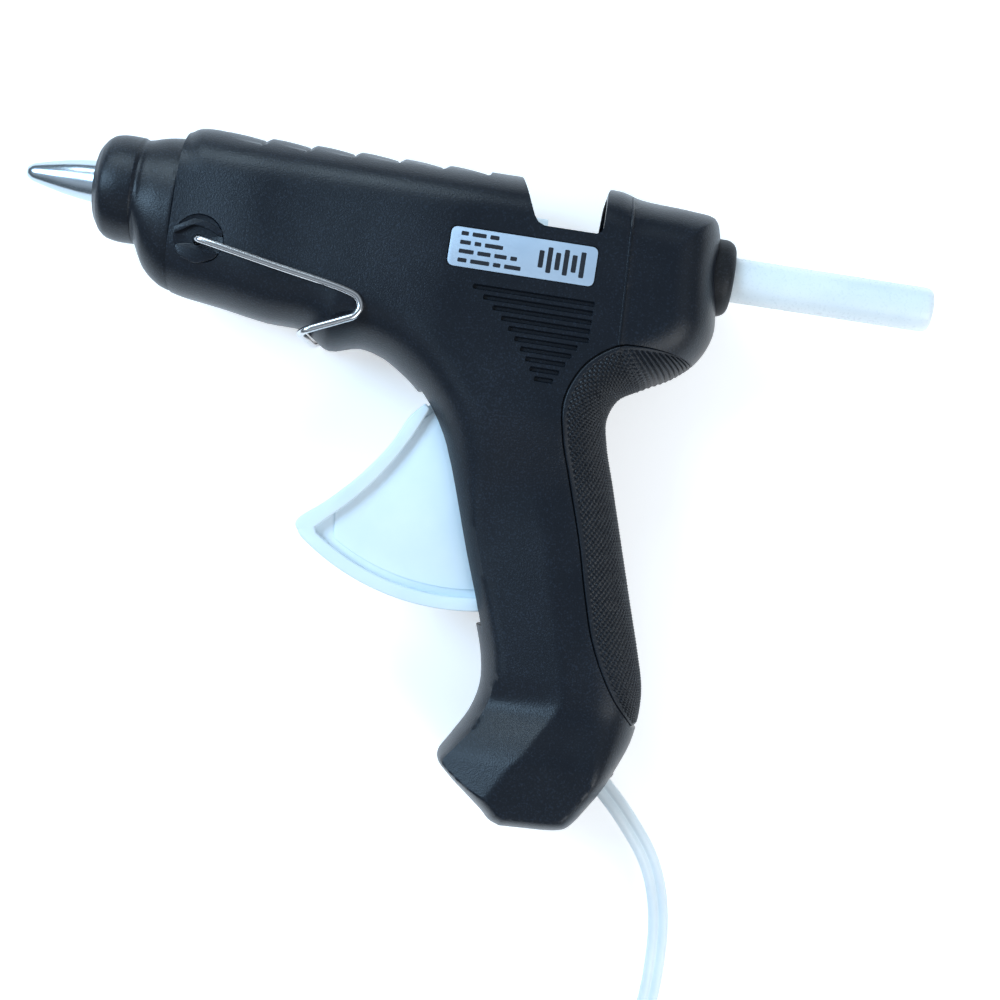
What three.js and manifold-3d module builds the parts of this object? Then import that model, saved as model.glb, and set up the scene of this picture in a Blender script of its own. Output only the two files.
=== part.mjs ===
// Hot glue gun, mains powered, lying on its right side on a bench.
//
// Drawing frame: x runs back along the barrel from the front rim of the nose
// collar, y runs up from the barrel axis, z runs out of the left side from the
// parting plane between the two shell halves. Every solid is drawn in it, and
// is then moved to the part's frame: origin on the flat right side, straight
// below the trigger pivot's place on the barrel axis. Millimetres.
import * as THREE from 'three';
import { mergeVertices } from 'three/addons/utils/BufferGeometryUtils.js';
import Module from 'manifold-3d';

const wasm = await Module();
wasm.setup();

// ---------------------------------------------------------------- dimensions
const HALF_WIDTH = 19;            // parting plane to each flat side
const CROWN = 0.25;               // how far the side's curve would rise above its flat
const BARREL_HALF_WIDTH = 16.4;   // narrower front barrel, between the stand's legs
const HANDLE_HALF_WIDTH = 16;
const EDGE_ROUND = 13;            // width of the rounded border of each side
const FOOT_ROUND = 7;
const WALL = 2.6;
const PARTING_GAP = 0.05;
const PAD_THICKNESS = 1.1;
const BEYOND = HALF_WIDTH + 6;    // a height that clears every shell

// Clearances. Those round a rod are on its radius.
const FACE_GAP = 0.3;             // between pieces that meet face to face
const STICK_GAP = 0.5;            // around the glue stick where it slides
const BORE_GAP = 0.4;             // around the heating chamber and the nose spigot
const PIN_GAP = 0.1;
const SCREW_GAP = 0.3;
const ARM_GAP = 0.7;              // each trigger arm to the carriage it straddles
const STAND_GAP = 0.5;            // each stand leg to the barrel beside it
const PAD_GAP = 0.2;

const SEAM_X = 21.5;              // where the nose piece meets the shells
const SPIGOT_RADIUS = 13;         // the ring of the nose piece inside the shells
const SPIGOT_END_X = SEAM_X + 2.7;
const NOTCH_FLOOR_Y = 3.4;
const LABEL = { x0: 89.4, x1: 124.9, y0: -9.4, y1: 0.1, thickness: 0.3, corner: 1.5 };

const STICK_RADIUS = 5.6;
const STICK_FRONT_X = 52;
const STICK_BACK_X = 209.7;
const STICK_BORE = STICK_RADIUS + STICK_GAP;
const BUSH_FRONT_X = 149;
const BUSH_BACK_X = 159.3;
const BUSH_RADIUS = STICK_BORE + 3.5;
const CHAMBER_RADIUS = STICK_BORE + 2.9;
const SLEEVE_REAR_RADIUS = STICK_BORE + 2.1;
const POCKET_BLOCK_TOP = STICK_BORE + 1.3;   // how far below the axis the heater's block starts
const NOZZLE_RADIUS = 5.4;

const HEATER_TOP_Y = -12.9;
const HEATER_THICKNESS = 2.6;
const HEATER_HALF_WIDTH = 5;
const CONTACT_THICKNESS = 0.5;
const FILM_THICKNESS = 0.3;
// The heater's stack in its pocket, from the top down: film, contact, heater, contact, film.
const UPPER_CONTACT_TOP_Y = HEATER_TOP_Y + FACE_GAP + CONTACT_THICKNESS;
const LOWER_CONTACT_BOTTOM_Y = HEATER_TOP_Y - HEATER_THICKNESS - FACE_GAP - CONTACT_THICKNESS;
const POCKET_BLOCK_BOTTOM_Y = LOWER_CONTACT_BOTTOM_Y - FILM_THICKNESS - 2;

const CARRIAGE_RADIUS = STICK_BORE + 1.8;
const PAWL_TIP_Y = STICK_RADIUS + FACE_GAP;
const PAWL_PIN = { x: 104.5, y: PAWL_TIP_Y + 3.1, radius: 0.75 };

const PIVOT = { x: 100, y: -32 };
const PIVOT_PIN_RADIUS = 1.95;
const HUB_RADIUS = 5.4;
const ARM_INNER_Z = CARRIAGE_RADIUS + ARM_GAP;
const ARM_OUTER_Z = ARM_INNER_Z + 2.8;
const TRIGGER_REACH = 60;         // pivot to the trigger's lower edge
const TRIGGER_HALF_WIDTH = 7;
const WEB_HALF_WIDTH = 4;
const FEED_PIN_RADIUS = 1.6;

const STAND_PIVOT = { x: 28.9, y: -12.2 };
const STAND_WIRE_RADIUS = 0.9;
const STAND_LEG_Z = BARREL_HALF_WIDTH + STAND_GAP + STAND_WIRE_RADIUS;

const SCREW_RADIUS = 1.5;
const SCREW_HEAD_RADIUS = SCREW_RADIUS + 1.3;
const SCREW_BOSS_RADIUS = SCREW_RADIUS + 1.4;
const SCREW_TIP_Z = 8;
// Each screw's place, and how far from the parting plane its head sits.
const SCREWS = [
  [40, POCKET_BLOCK_BOTTOM_Y - FACE_GAP - SCREW_BOSS_RADIUS, 9.5],
  [70, CHAMBER_RADIUS + BORE_GAP + SCREW_BOSS_RADIUS, 9.5], [141, 10.3, 11], [144, -13, 12], [115, -38, 12],
  [122, -108, 11.5], [121, -131, 12],
];

const CORD_WIDTH = 5.2;
const CORD_THICKNESS = 2.6;
const CORD_ROUTE = [
  [135.3, -118.3, 0], [146.3, -129.3, 0], [153.5, -136.6, -0.6], [162, -148, -5],
  [167, -162, -11.5], [168.5, -179, -16], [167.2, -197, -17.3], [166.6, -213, -17.3],
];
const COIL_CENTRE = { x: 205, y: -224 };
const COIL_MEAN_RADIUS = 30;
const COIL_BUNDLE = 2 * CORD_THICKNESS;  // half the bundle: four turns wide, two deep

// The outline, as pairs of points: one on the lower, front line (belly, trigger,
// foot) and the one across from it on the upper, back line (top, tower, grip).
const OUTLINE = [
  [[SEAM_X, -24.5], [SEAM_X, 15.5]], [[SEAM_X + 2.5, -25.1], [SEAM_X + 2.5, 16.8]], [[34, -26.5], [34, 16.9]],
  [[46, -28.4], [46, 16.9]], [[55.5, -28.9], [56, 16.9]], [[58.5, -30.7], [61, 16.9]],
  [[62.5, -32.9], [67, 16.9]], [[70, -31.2], [78, 16.9]], [[76, -32.6], [90, 16.9]],
  [[80, -34.8], [102, 16.9]], [[84, -37.6], [116, 16.95]], [[86.5, -39.8], [129, 17]],
  [[88.5, -42], [134, 15.7]], [[90, -43.8], [147, 14.9]], [[91, -45.3], [153, 13.8]],
  [[91.8, -46.5], [155, 9]], [[92.4, -47.6], [155.6, 0]], [[93, -48.7], [156.6, -9]],
  [[93.6, -49.8], [156.8, -15]], [[94.1, -50.9], [154, -21.7]], [[94.8, -52.5], [149, -26.6]],
  [[95.6, -54.8], [142, -30.6]], [[96.2, -56.3], [136.2, -34.2]], [[97.8, -61], [134, -39.5]],
  [[99.5, -66], [135, -46]], [[101.5, -72], [138, -55.5]], [[103.8, -78.7], [142.5, -70]],
  [[106.5, -86], [147, -84.5]], [[109.3, -94], [150.3, -95]], [[111.8, -102], [152.6, -103.5]],
  [[112.6, -109], [153, -110]], [[111, -116], [152, -117.5]], [[107, -123.5], [148.5, -126]],
  [[104.8, -128], [145.5, -132]], [[108, -132.4], [143, -136.5]], [[113, -136.7], [140.6, -140.5]],
  [[117.5, -140.5], [138.2, -142.9]], [[120, -142.8], [135, -144.1]],
  [[123, -144.1], [132, -144.1]],
];

const GRIP_OUTLINE = [
  [158, -24], [149, -22.4], [137.9, -21.5], [133, -22.2], [125.8, -27.7], [121.9, -36.8],
  [123, -46], [126.2, -55.9], [130.7, -69.7], [134.4, -83.5], [138.1, -94.8], [144.5, -106.2],
  [150.8, -113.2], [158, -116],
];

// ---------------------------------------------------------- geometry helpers
const place = (geometry, x, y, z) => geometry.translate(x, y, z);

function box(x0, x1, y0, y1, z0, z1) {
  const geometry = new THREE.BoxGeometry(x1 - x0, y1 - y0, z1 - z0);
  return place(geometry, (x0 + x1) / 2, (y0 + y1) / 2, (z0 + z1) / 2);
}

// A plate with the outline `points` in x and y, from z0 to z1.
function plate(points, z0, z1) {
  const shape = new THREE.Shape(points.map(([x, y]) => new THREE.Vector2(x, y)));
  const geometry = new THREE.ExtrudeGeometry(shape, { depth: z1 - z0, bevelEnabled: false });
  return place(geometry, 0, 0, z0);
}

// A body turned about an axis along x; the profile is a closed list of [x, radius].
function turned(profile, segments, y = 0, z = 0) {
  const loop = [...profile, profile[0]].map(([x, radius]) => new THREE.Vector2(radius, x));
  const geometry = new THREE.LatheGeometry(loop, segments).rotateZ(-Math.PI / 2);
  return place(geometry, 0, y, z);
}

function rodAlongX(radius, x0, x1, y, z, segments) {
  const geometry = new THREE.CylinderGeometry(radius, radius, x1 - x0, segments);
  return place(geometry.rotateZ(Math.PI / 2), (x0 + x1) / 2, y, z);
}

function rodAlongZ(radius, x, y, z0, z1, segments) {
  const geometry = new THREE.CylinderGeometry(radius, radius, z1 - z0, segments);
  return place(geometry.rotateX(Math.PI / 2), x, y, (z0 + z1) / 2);
}

function vectors(points) {
  return points.map(([x, y, z]) => new THREE.Vector3(x, y, z));
}

// A solid strand along a smooth path; `across` and `deep` are its section's size.
function strand(points, across, deep, steps, corners = 8) {
  const path = new THREE.CatmullRomCurve3(vectors(points), false, 'centripetal');
  const flat = (across - deep) / 2;
  const section = [];
  for (let i = 0; i < corners; i += 1) {
    const angle = (2 * Math.PI * (i + 0.5)) / corners;
    const side = Math.sin(angle) > 0 ? flat : -flat;
    section.push(new THREE.Vector2((Math.cos(angle) * deep) / 2, (Math.sin(angle) * deep) / 2 + side));
  }
  const settings = { steps, extrudePath: path, bevelEnabled: false };
  return new THREE.ExtrudeGeometry(new THREE.Shape(section), settings);
}

// A closed geometry as a solid that can be joined and cut.
function solid(geometry) {
  const bare = geometry.clone();
  bare.deleteAttribute('normal');
  bare.deleteAttribute('uv');
  const welded = mergeVertices(bare, 1e-4);
  const corner = welded.index.array;
  const triVerts = [];
  for (let i = 0; i < corner.length; i += 3) {
    const [a, b, c] = [corner[i], corner[i + 1], corner[i + 2]];
    if (a !== b && b !== c && a !== c) {
      triVerts.push(a, b, c);
    }
  }
  return new wasm.Manifold(new wasm.Mesh({
    numProp: 3,
    vertProperties: new Float32Array(welded.attributes.position.array),
    triVerts: new Uint32Array(triVerts),
  }));
}

function toGeometry(manifold) {
  const mesh = manifold.getMesh();
  const geometry = new THREE.BufferGeometry();
  geometry.setAttribute('position', new THREE.BufferAttribute(mesh.vertProperties, 3));
  geometry.setIndex(new THREE.BufferAttribute(mesh.triVerts, 1));
  return geometry;
}

const joined = (first, ...others) => others.reduce((all, one) => all.add(solid(one)), first);
const cut = (first, ...others) => others.reduce((all, one) => all.subtract(solid(one)), first);

// The biggest of the pieces that a cut has left.
function largestPiece(manifold) {
  return manifold.decompose().sort((one, other) => other.volume() - one.volume())[0];
}

// The same shape on the other side of the parting plane.
function mirrored(geometry) {
  const turnedOver = geometry.clone().scale(1, 1, -1);
  const corner = turnedOver.index.array;
  for (let i = 0; i < corner.length; i += 3) {
    [corner[i + 1], corner[i + 2]] = [corner[i + 2], corner[i + 1]];
  }
  return turnedOver;
}

// ------------------------------------------------------------ the outer form
const ramp = (value, from, to) => {
  const share = Math.min(Math.max((value - from) / (to - from), 0), 1);
  return share * share * (3 - 2 * share);
};
const mix = (from, to, share) => from + (to - from) * share;

// Half the body's width, before its border is rounded off.
function halfWidth(x, y) {
  const nose = mix(BARREL_HALF_WIDTH - 1.8, BARREL_HALF_WIDTH, ramp(x, SEAM_X, SEAM_X + 3.5));
  const full = HALF_WIDTH + CROWN;
  const barrel = mix(nose, full, ramp(x, 72, 82));
  const tower = mix(barrel, full - 0.6, ramp(x, 132, 133.4) * ramp(y, -30, -24));
  const handle = mix(tower, HANDLE_HALF_WIDTH, ramp(-y, 38, 62));
  return mix(handle, full, ramp(-y, 110, 127));
}

const borderWidth = (y) => mix(EDGE_ROUND, FOOT_ROUND, ramp(-y, 110, 130));

// A smooth line through points, with its inward offset; side is 1 or -1.
function offsetLine(points, inset, side, perSpan) {
  const curve = new THREE.CatmullRomCurve3(vectors(points.map(([x, y]) => [x, y, 0])), false, 'centripetal');
  const count = (points.length - 1) * perSpan;
  const line = [];
  for (let i = 0; i <= count; i += 1) {
    const at = curve.getPoint(i / count);
    const along = curve.getTangent(i / count);
    line.push([at.x - side * along.y * inset, at.y + side * along.x * inset]);
  }
  return line;
}

function distanceToLine(x, y, line) {
  let least = Infinity;
  for (let i = 1; i < line.length; i += 1) {
    const [ax, ay] = line[i - 1];
    const [bx, by] = line[i];
    const lengthSquared = (bx - ax) ** 2 + (by - ay) ** 2;
    const share = ((x - ax) * (bx - ax) + (y - ay) * (by - ay)) / lengthSquared;
    const held = Math.min(Math.max(share, 0), 1);
    least = Math.min(least, Math.hypot(x - mix(ax, bx, held), y - mix(ay, by, held)));
  }
  return least;
}

// Half of the body's outer form, above the parting plane, shrunk inwards by `inset`.
function halfForm(inset, frontOverrun = 0, perSpan = 1) {
  const front = offsetLine(OUTLINE.map((pair) => pair[0]), inset, 1, perSpan);
  const back = offsetLine(OUTLINE.map((pair) => pair[1]), inset, -1, perSpan);
  const last = front.length - 1;
  const edge = [...front, ...[...back].reverse()];
  const stations = [0, 0.05, 0.25, 0.6, 1];
  const top = [];
  for (let i = 0; i <= last; i += 1) {
    const [ax, ay] = front[i];
    const [bx, by] = back[i];
    const length = Math.hypot(bx - ax, by - ay);
    const border = Math.min(borderWidth(ay) - inset, 0.42 * length);
    const shares = stations.map((s) => (s * border) / length);
    const row = [...shares, 0.5, ...[...shares].reverse().map((s) => 1 - s)];
    top.push(row.map((share) => {
      const x = mix(ax, bx, share);
      const y = mix(ay, by, share);
      const onEdge = i === last || share === 0 || share === 1;
      const depth = onEdge ? 0 : Math.min(distanceToLine(x, y, edge) / (borderWidth(y) - inset), 1);
      const rise = (1 - (1 - depth) ** 2.2) ** (1 / 2.2);
      const z = Math.min((halfWidth(x, y) - inset) * rise, HALF_WIDTH - inset);
      return [i === 0 ? x - frontOverrun : x, y, z];
    }));
  }
  const across = top[0].length;
  const position = [];
  const upper = (i, j) => i * across + j;
  const lower = (i, j) => (last + 1) * across + i * across + j;
  top.forEach((row) => row.forEach(([x, y, z]) => position.push(x, y, z)));
  top.forEach((row) => row.forEach(([x, y]) => position.push(x, y, 0)));
  const index = [];
  for (let i = 0; i < last; i += 1) {
    for (let j = 0; j < across - 1; j += 1) {
      index.push(upper(i, j), upper(i + 1, j), upper(i, j + 1));
      index.push(upper(i, j + 1), upper(i + 1, j), upper(i + 1, j + 1));
      index.push(lower(i, j), lower(i, j + 1), lower(i + 1, j));
      index.push(lower(i, j + 1), lower(i + 1, j + 1), lower(i + 1, j));
    }
  }
  for (let j = 0; j < across - 1; j += 1) {
    index.push(upper(0, j), upper(0, j + 1), lower(0, j));
    index.push(upper(0, j + 1), lower(0, j + 1), lower(0, j));
  }
  const geometry = new THREE.BufferGeometry();
  geometry.setAttribute('position', new THREE.Float32BufferAttribute(position, 3));
  geometry.setIndex(index);
  return solid(geometry);
}

const OUTER_FORM = halfForm(0);
const INNER_FORM = halfForm(WALL, 1);

// ------------------------------------------------------------------- shells
function notchTool() {
  return plate([
    [103, 18.5], [103.9, 16.4], [105.1, 14], [106.3, 11.2], [107.4, 8.2], [108.5, 5.6],
    [110, NOTCH_FLOOR_Y], [125, NOTCH_FLOOR_Y], [125.3, 4], [125.3, 15.4], [126, 16.4],
    [127.4, 17.2], [127.6, 18.5],
  ], -1, BEYOND);
}

// A point at `radius` from the trigger's pivot.
function aboutPivot(radius, degrees) {
  const angle = (degrees * Math.PI) / 180;
  return [PIVOT.x + radius * Math.cos(angle), PIVOT.y + radius * Math.sin(angle)];
}

// The slot in the front of the handle that the trigger comes out through.
function triggerSlotTool() {
  return plate([
    [84.6, -40.6], [91, -36.2], [99, -44], [101.6, -50], [106, -60], [110, -72], [114, -84],
    aboutPivot(TRIGGER_REACH + 3.8, 286.4), aboutPivot(TRIGGER_REACH + 3.6, 274.5),
    aboutPivot(TRIGGER_REACH, 268.1), [88, -70], [80, -50],
  ], -1, TRIGGER_HALF_WIDTH + 2 * FACE_GAP);
}

// Ribs that carry the parts along the barrel, with round passages for them.
function barrelRibs() {
  let ribs = solid(box(27, 29, FACE_GAP - POCKET_BLOCK_TOP, 17, 0, 18));
  ribs = joined(ribs, box(54, 56, -13, 17, 0, 18), box(77.4, 79, -13, 17, 0, 18));
  ribs = joined(ribs, box(128, 130, -13, 16, 0, BEYOND));
  ribs = joined(ribs, box(BUSH_FRONT_X - 3, BUSH_FRONT_X - 1, -13, 16, 0, BEYOND));
  ribs = cut(ribs, rodAlongX(CHAMBER_RADIUS + BORE_GAP, 26, 57, 0, 0, 24));
  ribs = cut(ribs, rodAlongX(SLEEVE_REAR_RADIUS + BORE_GAP, 76, 80, 0, 0, 24));
  return cut(ribs, rodAlongX(STICK_BORE + PAD_GAP, 127, BUSH_FRONT_X, 0, 0, 20));
}

function screwBosses(deepHead) {
  return SCREWS.map(([x, y, headZ]) => {
    const boss = solid(rodAlongZ(SCREW_BOSS_RADIUS, x, y, 0, BEYOND, 12));
    return deepHead ? joined(boss, rodAlongZ(SCREW_HEAD_RADIUS + 1.5, x, y, headZ - 2, BEYOND, 12)) : boss;
  });
}

function screwHoles(deepHead) {
  return SCREWS.flatMap(([x, y, headZ]) => {
    const hole = rodAlongZ(SCREW_RADIUS + SCREW_GAP, x, y, -1, deepHead ? headZ + 1 : SCREW_TIP_Z + 1, 10);
    return deepHead ? [hole, rodAlongZ(SCREW_HEAD_RADIUS + SCREW_GAP, x, y, headZ, BEYOND, 12)] : [hole];
  });
}

// The round dish on the side that the stand's wire turns in, with its chevron rib.
function standDish(shell) {
  const { x, y } = STAND_PIVOT;
  const rib = plate([
    [x - 5.8, y + 0.8], [x - 1.4, y + 3.6], [x + 1.2, y + 3.4], [x + 5.8, y + 1.6],
    [x + 5.8, y + 2.8], [x + 1.2, y + 4.6], [x - 1.4, y + 4.8], [x - 5.8, y + 2.2],
  ], BARREL_HALF_WIDTH - 4.4, BARREL_HALF_WIDTH - 0.4);
  const dished = cut(shell, rodAlongZ(6.5, x, y, BARREL_HALF_WIDTH - 1.5, BEYOND, 24));
  const outside = OUTER_FORM.intersect(solid(rib));
  return cut(dished.add(outside), rodAlongZ(STAND_WIRE_RADIUS + BORE_GAP, x, y, 5, BEYOND, 12));
}

function ventGrooves() {
  const lefts = [96.8, 99.6, 102.2, 104.6, 106.7, 108.5, 110.2, 111.8, 113.2, 114.6];
  return lefts.map((left, row) => {
    const y = -13.5 - 2.19 * row;
    const right = row < 5 ? 125.6 : 123.2 - 1.15 * (row - 5);
    return box(left, right, y - 0.45, y + 0.45, HALF_WIDTH - 0.9, BEYOND);
  });
}

function ridgeDips() {
  return [37, 48.3, 59.4, 70.6, 81.8, 93].map((x) => plate([
    [x - 3.2, 17.2], [x - 3.2, 16.8], [x, 15.9], [x + 2, 16.8], [x + 2, 17.2],
  ], -1, 6));
}

function gripPrism(inward, z0) {
  const centre = [141, -66];
  const points = GRIP_OUTLINE.map(([x, y]) => {
    const reach = Math.hypot(centre[0] - x, centre[1] - y);
    const pull = x > 157 ? 0 : inward / reach;
    return [mix(x, centre[0], pull), mix(y, centre[1], pull)];
  });
  return plate(points, z0, BEYOND);
}

// What stays of the form under the grip pads.
const PAD_BED = halfForm(PAD_THICKNESS + PAD_GAP);
const PAD_RECESS = solid(gripPrism(0, -1)).subtract(PAD_BED);

// One half of the moulded shell, drawn on the left side.
function shellHalf(isRight) {
  let inside = barrelRibs();
  screwBosses(isRight).forEach((boss) => { inside = inside.add(boss); });
  inside = joined(inside, rodAlongZ(4.5, PIVOT.x, PIVOT.y, ARM_OUTER_Z + 2 * FACE_GAP, BEYOND, 16));
  if (isRight) {
    inside = joined(inside, cordClampLug());
  }
  inside = inside.intersect(halfForm(0.5));
  let shell = OUTER_FORM.subtract(INNER_FORM).add(inside);
  const pinHole = rodAlongZ(PIVOT_PIN_RADIUS + PIN_GAP, PIVOT.x, PIVOT.y, 8, ARM_OUTER_Z + 3.6, 16);
  shell = cut(shell, ...screwHoles(isRight), pinHole);
  shell = cut(shell, notchTool(), triggerSlotTool(), box(108, 127, -1, 4, -1, STICK_BORE + PAD_GAP));
  shell = standDish(shell);
  shell = cut(shell, ...ventGrooves(), ...ridgeDips());
  shell = shell.subtract(PAD_RECESS);
  const bushHole = rodAlongX(BUSH_RADIUS + FACE_GAP, BUSH_FRONT_X - FACE_GAP, BUSH_BACK_X + 3, 0, 0, 24);
  const socket = rodAlongX(SPIGOT_RADIUS + BORE_GAP, SEAM_X - 1.5, SPIGOT_END_X + BORE_GAP, 0, 0, 24);
  shell = cut(shell, bushHole, cordExitTool(), socket);
  shell = cut(shell, box(0, 220, -160, 30, -2, PARTING_GAP));
  if (isRight) {
    return mirrored(toGeometry(cut(shell, alongCord(clampScrewHole(-1, 9)), alongCord(clampScrewHole(1, 9)))));
  }
  const { x0, x1, y0, y1, thickness } = LABEL;
  return toGeometry(cut(shell, box(
    x0 - FACE_GAP, x1 + FACE_GAP, y0 - FACE_GAP, y1 + FACE_GAP, HALF_WIDTH - thickness - 0.1, BEYOND,
  )));
}

function gripPad(isRight) {
  const trimmed = solid(gripPrism(0.35, 0.15));
  const bed = toGeometry(PAD_BED);
  const raisedBed = bed.clone().translate(0, 0, PAD_GAP);
  const widenedBed = bed.clone().translate(PAD_GAP, 0, 0);
  const pad = toGeometry(largestPiece(
    cut(OUTER_FORM.intersect(trimmed), bed, raisedBed, widenedBed),
  ));
  return isRight ? mirrored(pad) : pad;
}

function ratingLabel() {
  const { x0, x1, y0, y1, thickness, corner } = LABEL;
  const centres = [
    [x1 - corner, y1 - corner], [x0 + corner, y1 - corner], [x0 + corner, y0 + corner],
    [x1 - corner, y0 + corner],
  ];
  const points = centres.flatMap(([x, y], quarter) => [0, 1, 2, 3].map((step) => {
    const angle = (quarter + step / 3) * (Math.PI / 2);
    return [x + corner * Math.cos(angle), y + corner * Math.sin(angle)];
  }));
  return plate(points, HALF_WIDTH - thickness, HALF_WIDTH);
}

// -------------------------------------------------------------- nose and heat
// One cross-section of the nose piece: a rounded ring of points.
function noseRing(x, topY, bottomY, halfZ, count) {
  const middle = (topY + bottomY) / 2;
  const halfY = (topY - bottomY) / 2;
  return Array.from({ length: count }, (_, i) => {
    const angle = (2 * Math.PI * i) / count;
    return [x, middle + halfY * Math.cos(angle), halfZ * Math.sin(angle)];
  });
}

// A closed skin through a row of rings, capped at both ends.
function ringLoft(rings) {
  const count = rings[0].length;
  const position = rings.flat(2);
  const index = [];
  for (let r = 0; r + 1 < rings.length; r += 1) {
    for (let i = 0; i < count; i += 1) {
      const next = (i + 1) % count;
      const [a, b] = [r * count + i, r * count + next];
      index.push(a, b, a + count, b, b + count, a + count);
    }
  }
  const end = (rings.length - 1) * count;
  for (let i = 1; i + 1 < count; i += 1) {
    index.push(0, i + 1, i, end, end + i, end + i + 1);
  }
  const geometry = new THREE.BufferGeometry();
  geometry.setAttribute('position', new THREE.Float32BufferAttribute(position, 3));
  geometry.setIndex(index);
  return geometry;
}

// The sections are the share of the nose's length, the top, the bottom and half the width.
function nosePiece() {
  const sections = [
    [0, 7.9, -8.6, 8.2], [0.05, 10.2, -11, 10.6], [0.1, 11.4, -12.6, 12.1], [0.19, 12.3, -13.6, 12.9],
    [0.33, 12.6, -14, 13.2], [0.49, 12.4, -13.9, 13.1], [0.54, 12.2, -15, 12.9],
    [0.59, 12.4, -17.4, 12.9], [0.66, 12.9, -19.9, 13.1], [0.78, 13.5, -22.2, 13.5],
    [0.9, 13.8, -23.6, 13.8], [1, 14, -24.2, 14],
  ];
  const length = SEAM_X - FACE_GAP;
  const rings = sections.map(([share, top, bottom, z]) => noseRing(share * length, top, bottom, z, 24));
  const [inner, back] = [SPIGOT_RADIUS - 1.6, SEAM_X - 1.5];
  const nose = joined(solid(ringLoft(rings)), turned([
    [back, inner], [back, SPIGOT_RADIUS], [SPIGOT_END_X, SPIGOT_RADIUS], [SPIGOT_END_X, inner],
  ], 28));
  const [mouth, bore] = [NOZZLE_RADIUS + STICK_GAP, inner - 0.2];
  return toGeometry(cut(nose, turned([
    [-1, mouth], [2.4, mouth], [4, CHAMBER_RADIUS + 1], [back, bore], [SPIGOT_END_X + 2, bore],
    [SPIGOT_END_X + 2, 0], [-1, 0],
  ], 28)));
}

function nozzle() {
  return turned([
    [-18.3, 0.9], [-18.3, 1.5], [-17.8, 2], [-17, 2.3], [-13, 3.3], [-9, 4.2], [-5, 4.85],
    [-0.5, NOZZLE_RADIUS], [11.5, NOZZLE_RADIUS], [11.5, 3.9], [3.2, 3.9], [3.2, 2.4], [-6, 2.4], [-7.5, 0.9],
  ], 28);
}

function valveBall() {
  return place(new THREE.SphereGeometry(1.7, 10, 8), 2.1, 0, 0);
}

function valveSpring() {
  const points = [];
  for (let i = 0; i <= 32; i += 1) {
    const angle = (i / 8) * 2 * Math.PI;
    points.push([-5.6 + (5.2 * i) / 32, 1.5 * Math.cos(angle), 1.5 * Math.sin(angle)]);
  }
  return strand(points, 0.5, 0.5, 40, 5);
}

// A block as wide and high as the stack, with `extra` all round it.
function heaterStack(x0, x1, extra) {
  const half = HEATER_HALF_WIDTH + FACE_GAP + extra;
  return box(x0, x1, LOWER_CONTACT_BOTTOM_Y - 0.1 - extra, UPPER_CONTACT_TOP_Y + 0.1 + extra, -half, half);
}

function ptcHeater() {
  return box(29.5, 47, HEATER_TOP_Y - HEATER_THICKNESS, HEATER_TOP_Y, -HEATER_HALF_WIDTH, HEATER_HALF_WIDTH);
}

function contactStrip(y0) {
  return box(29, 53, y0, y0 + CONTACT_THICKNESS, 0.4 - HEATER_HALF_WIDTH, HEATER_HALF_WIDTH - 0.4);
}

function heatingChamber() {
  const neck = CHAMBER_RADIUS - 1.4;
  const barrel = solid(turned([
    [3.6, 1.2], [3.6, 3.6], [11.9, 3.6], [11.9, 6.4], [14, CHAMBER_RADIUS], [58, CHAMBER_RADIUS],
    [58, neck], [64, neck], [64, STICK_BORE], [34, STICK_BORE], [14, 1.2],
  ], 24));
  const halfBlock = HEATER_HALF_WIDTH + 2;
  const block = cut(
    solid(box(26, 50, POCKET_BLOCK_BOTTOM_Y, -POCKET_BLOCK_TOP, -halfBlock, halfBlock)),
    rodAlongX(STICK_BORE + PAD_GAP, 20, 52, 0, 0, 24),
  );
  return toGeometry(cut(barrel.add(block), heaterStack(27.5, 51, FILM_THICKNESS + FACE_GAP)));
}

function inletSleeve() {
  const [neck, outer] = [CHAMBER_RADIUS - 1.2, CHAMBER_RADIUS + 0.2];
  return turned([
    [58.3, neck], [58.3, outer], [65.5, outer], [67, SLEEVE_REAR_RADIUS + 0.2],
    [79.5, SLEEVE_REAR_RADIUS], [79.5, STICK_BORE], [65, STICK_BORE], [64.4, neck],
  ], 24);
}

function sleeveClip() {
  const inner = CHAMBER_RADIUS + FACE_GAP;
  return turned([[60, inner], [60, inner + 0.9], [63, inner + 0.9], [63, inner]], 24);
}

// A flat rectangular tube of insulating film around the heater and its contacts.
function heaterFilm() {
  return toGeometry(cut(solid(heaterStack(28, 49.5, FILM_THICKNESS)), heaterStack(27, 50, 0)));
}

// ------------------------------------------------------------- feed mechanism
function glueStick() {
  return turned([
    [STICK_FRONT_X, 0], [STICK_FRONT_X, 4.6], [STICK_FRONT_X + 1.2, STICK_RADIUS],
    [STICK_BACK_X - 1.4, STICK_RADIUS], [STICK_BACK_X - 0.4, 5], [STICK_BACK_X, 3.9], [STICK_BACK_X, 0],
  ], 24);
}

function rearGuideBush() {
  return turned([
    [BUSH_FRONT_X, STICK_BORE], [BUSH_FRONT_X, BUSH_RADIUS], [BUSH_BACK_X - 2.3, BUSH_RADIUS],
    [BUSH_BACK_X - 0.9, BUSH_RADIUS - 0.7], [BUSH_BACK_X, BUSH_RADIUS - 2],
    [BUSH_BACK_X, STICK_BORE + 0.8], [BUSH_BACK_X - 2.3, STICK_BORE],
  ], 28);
}

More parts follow.
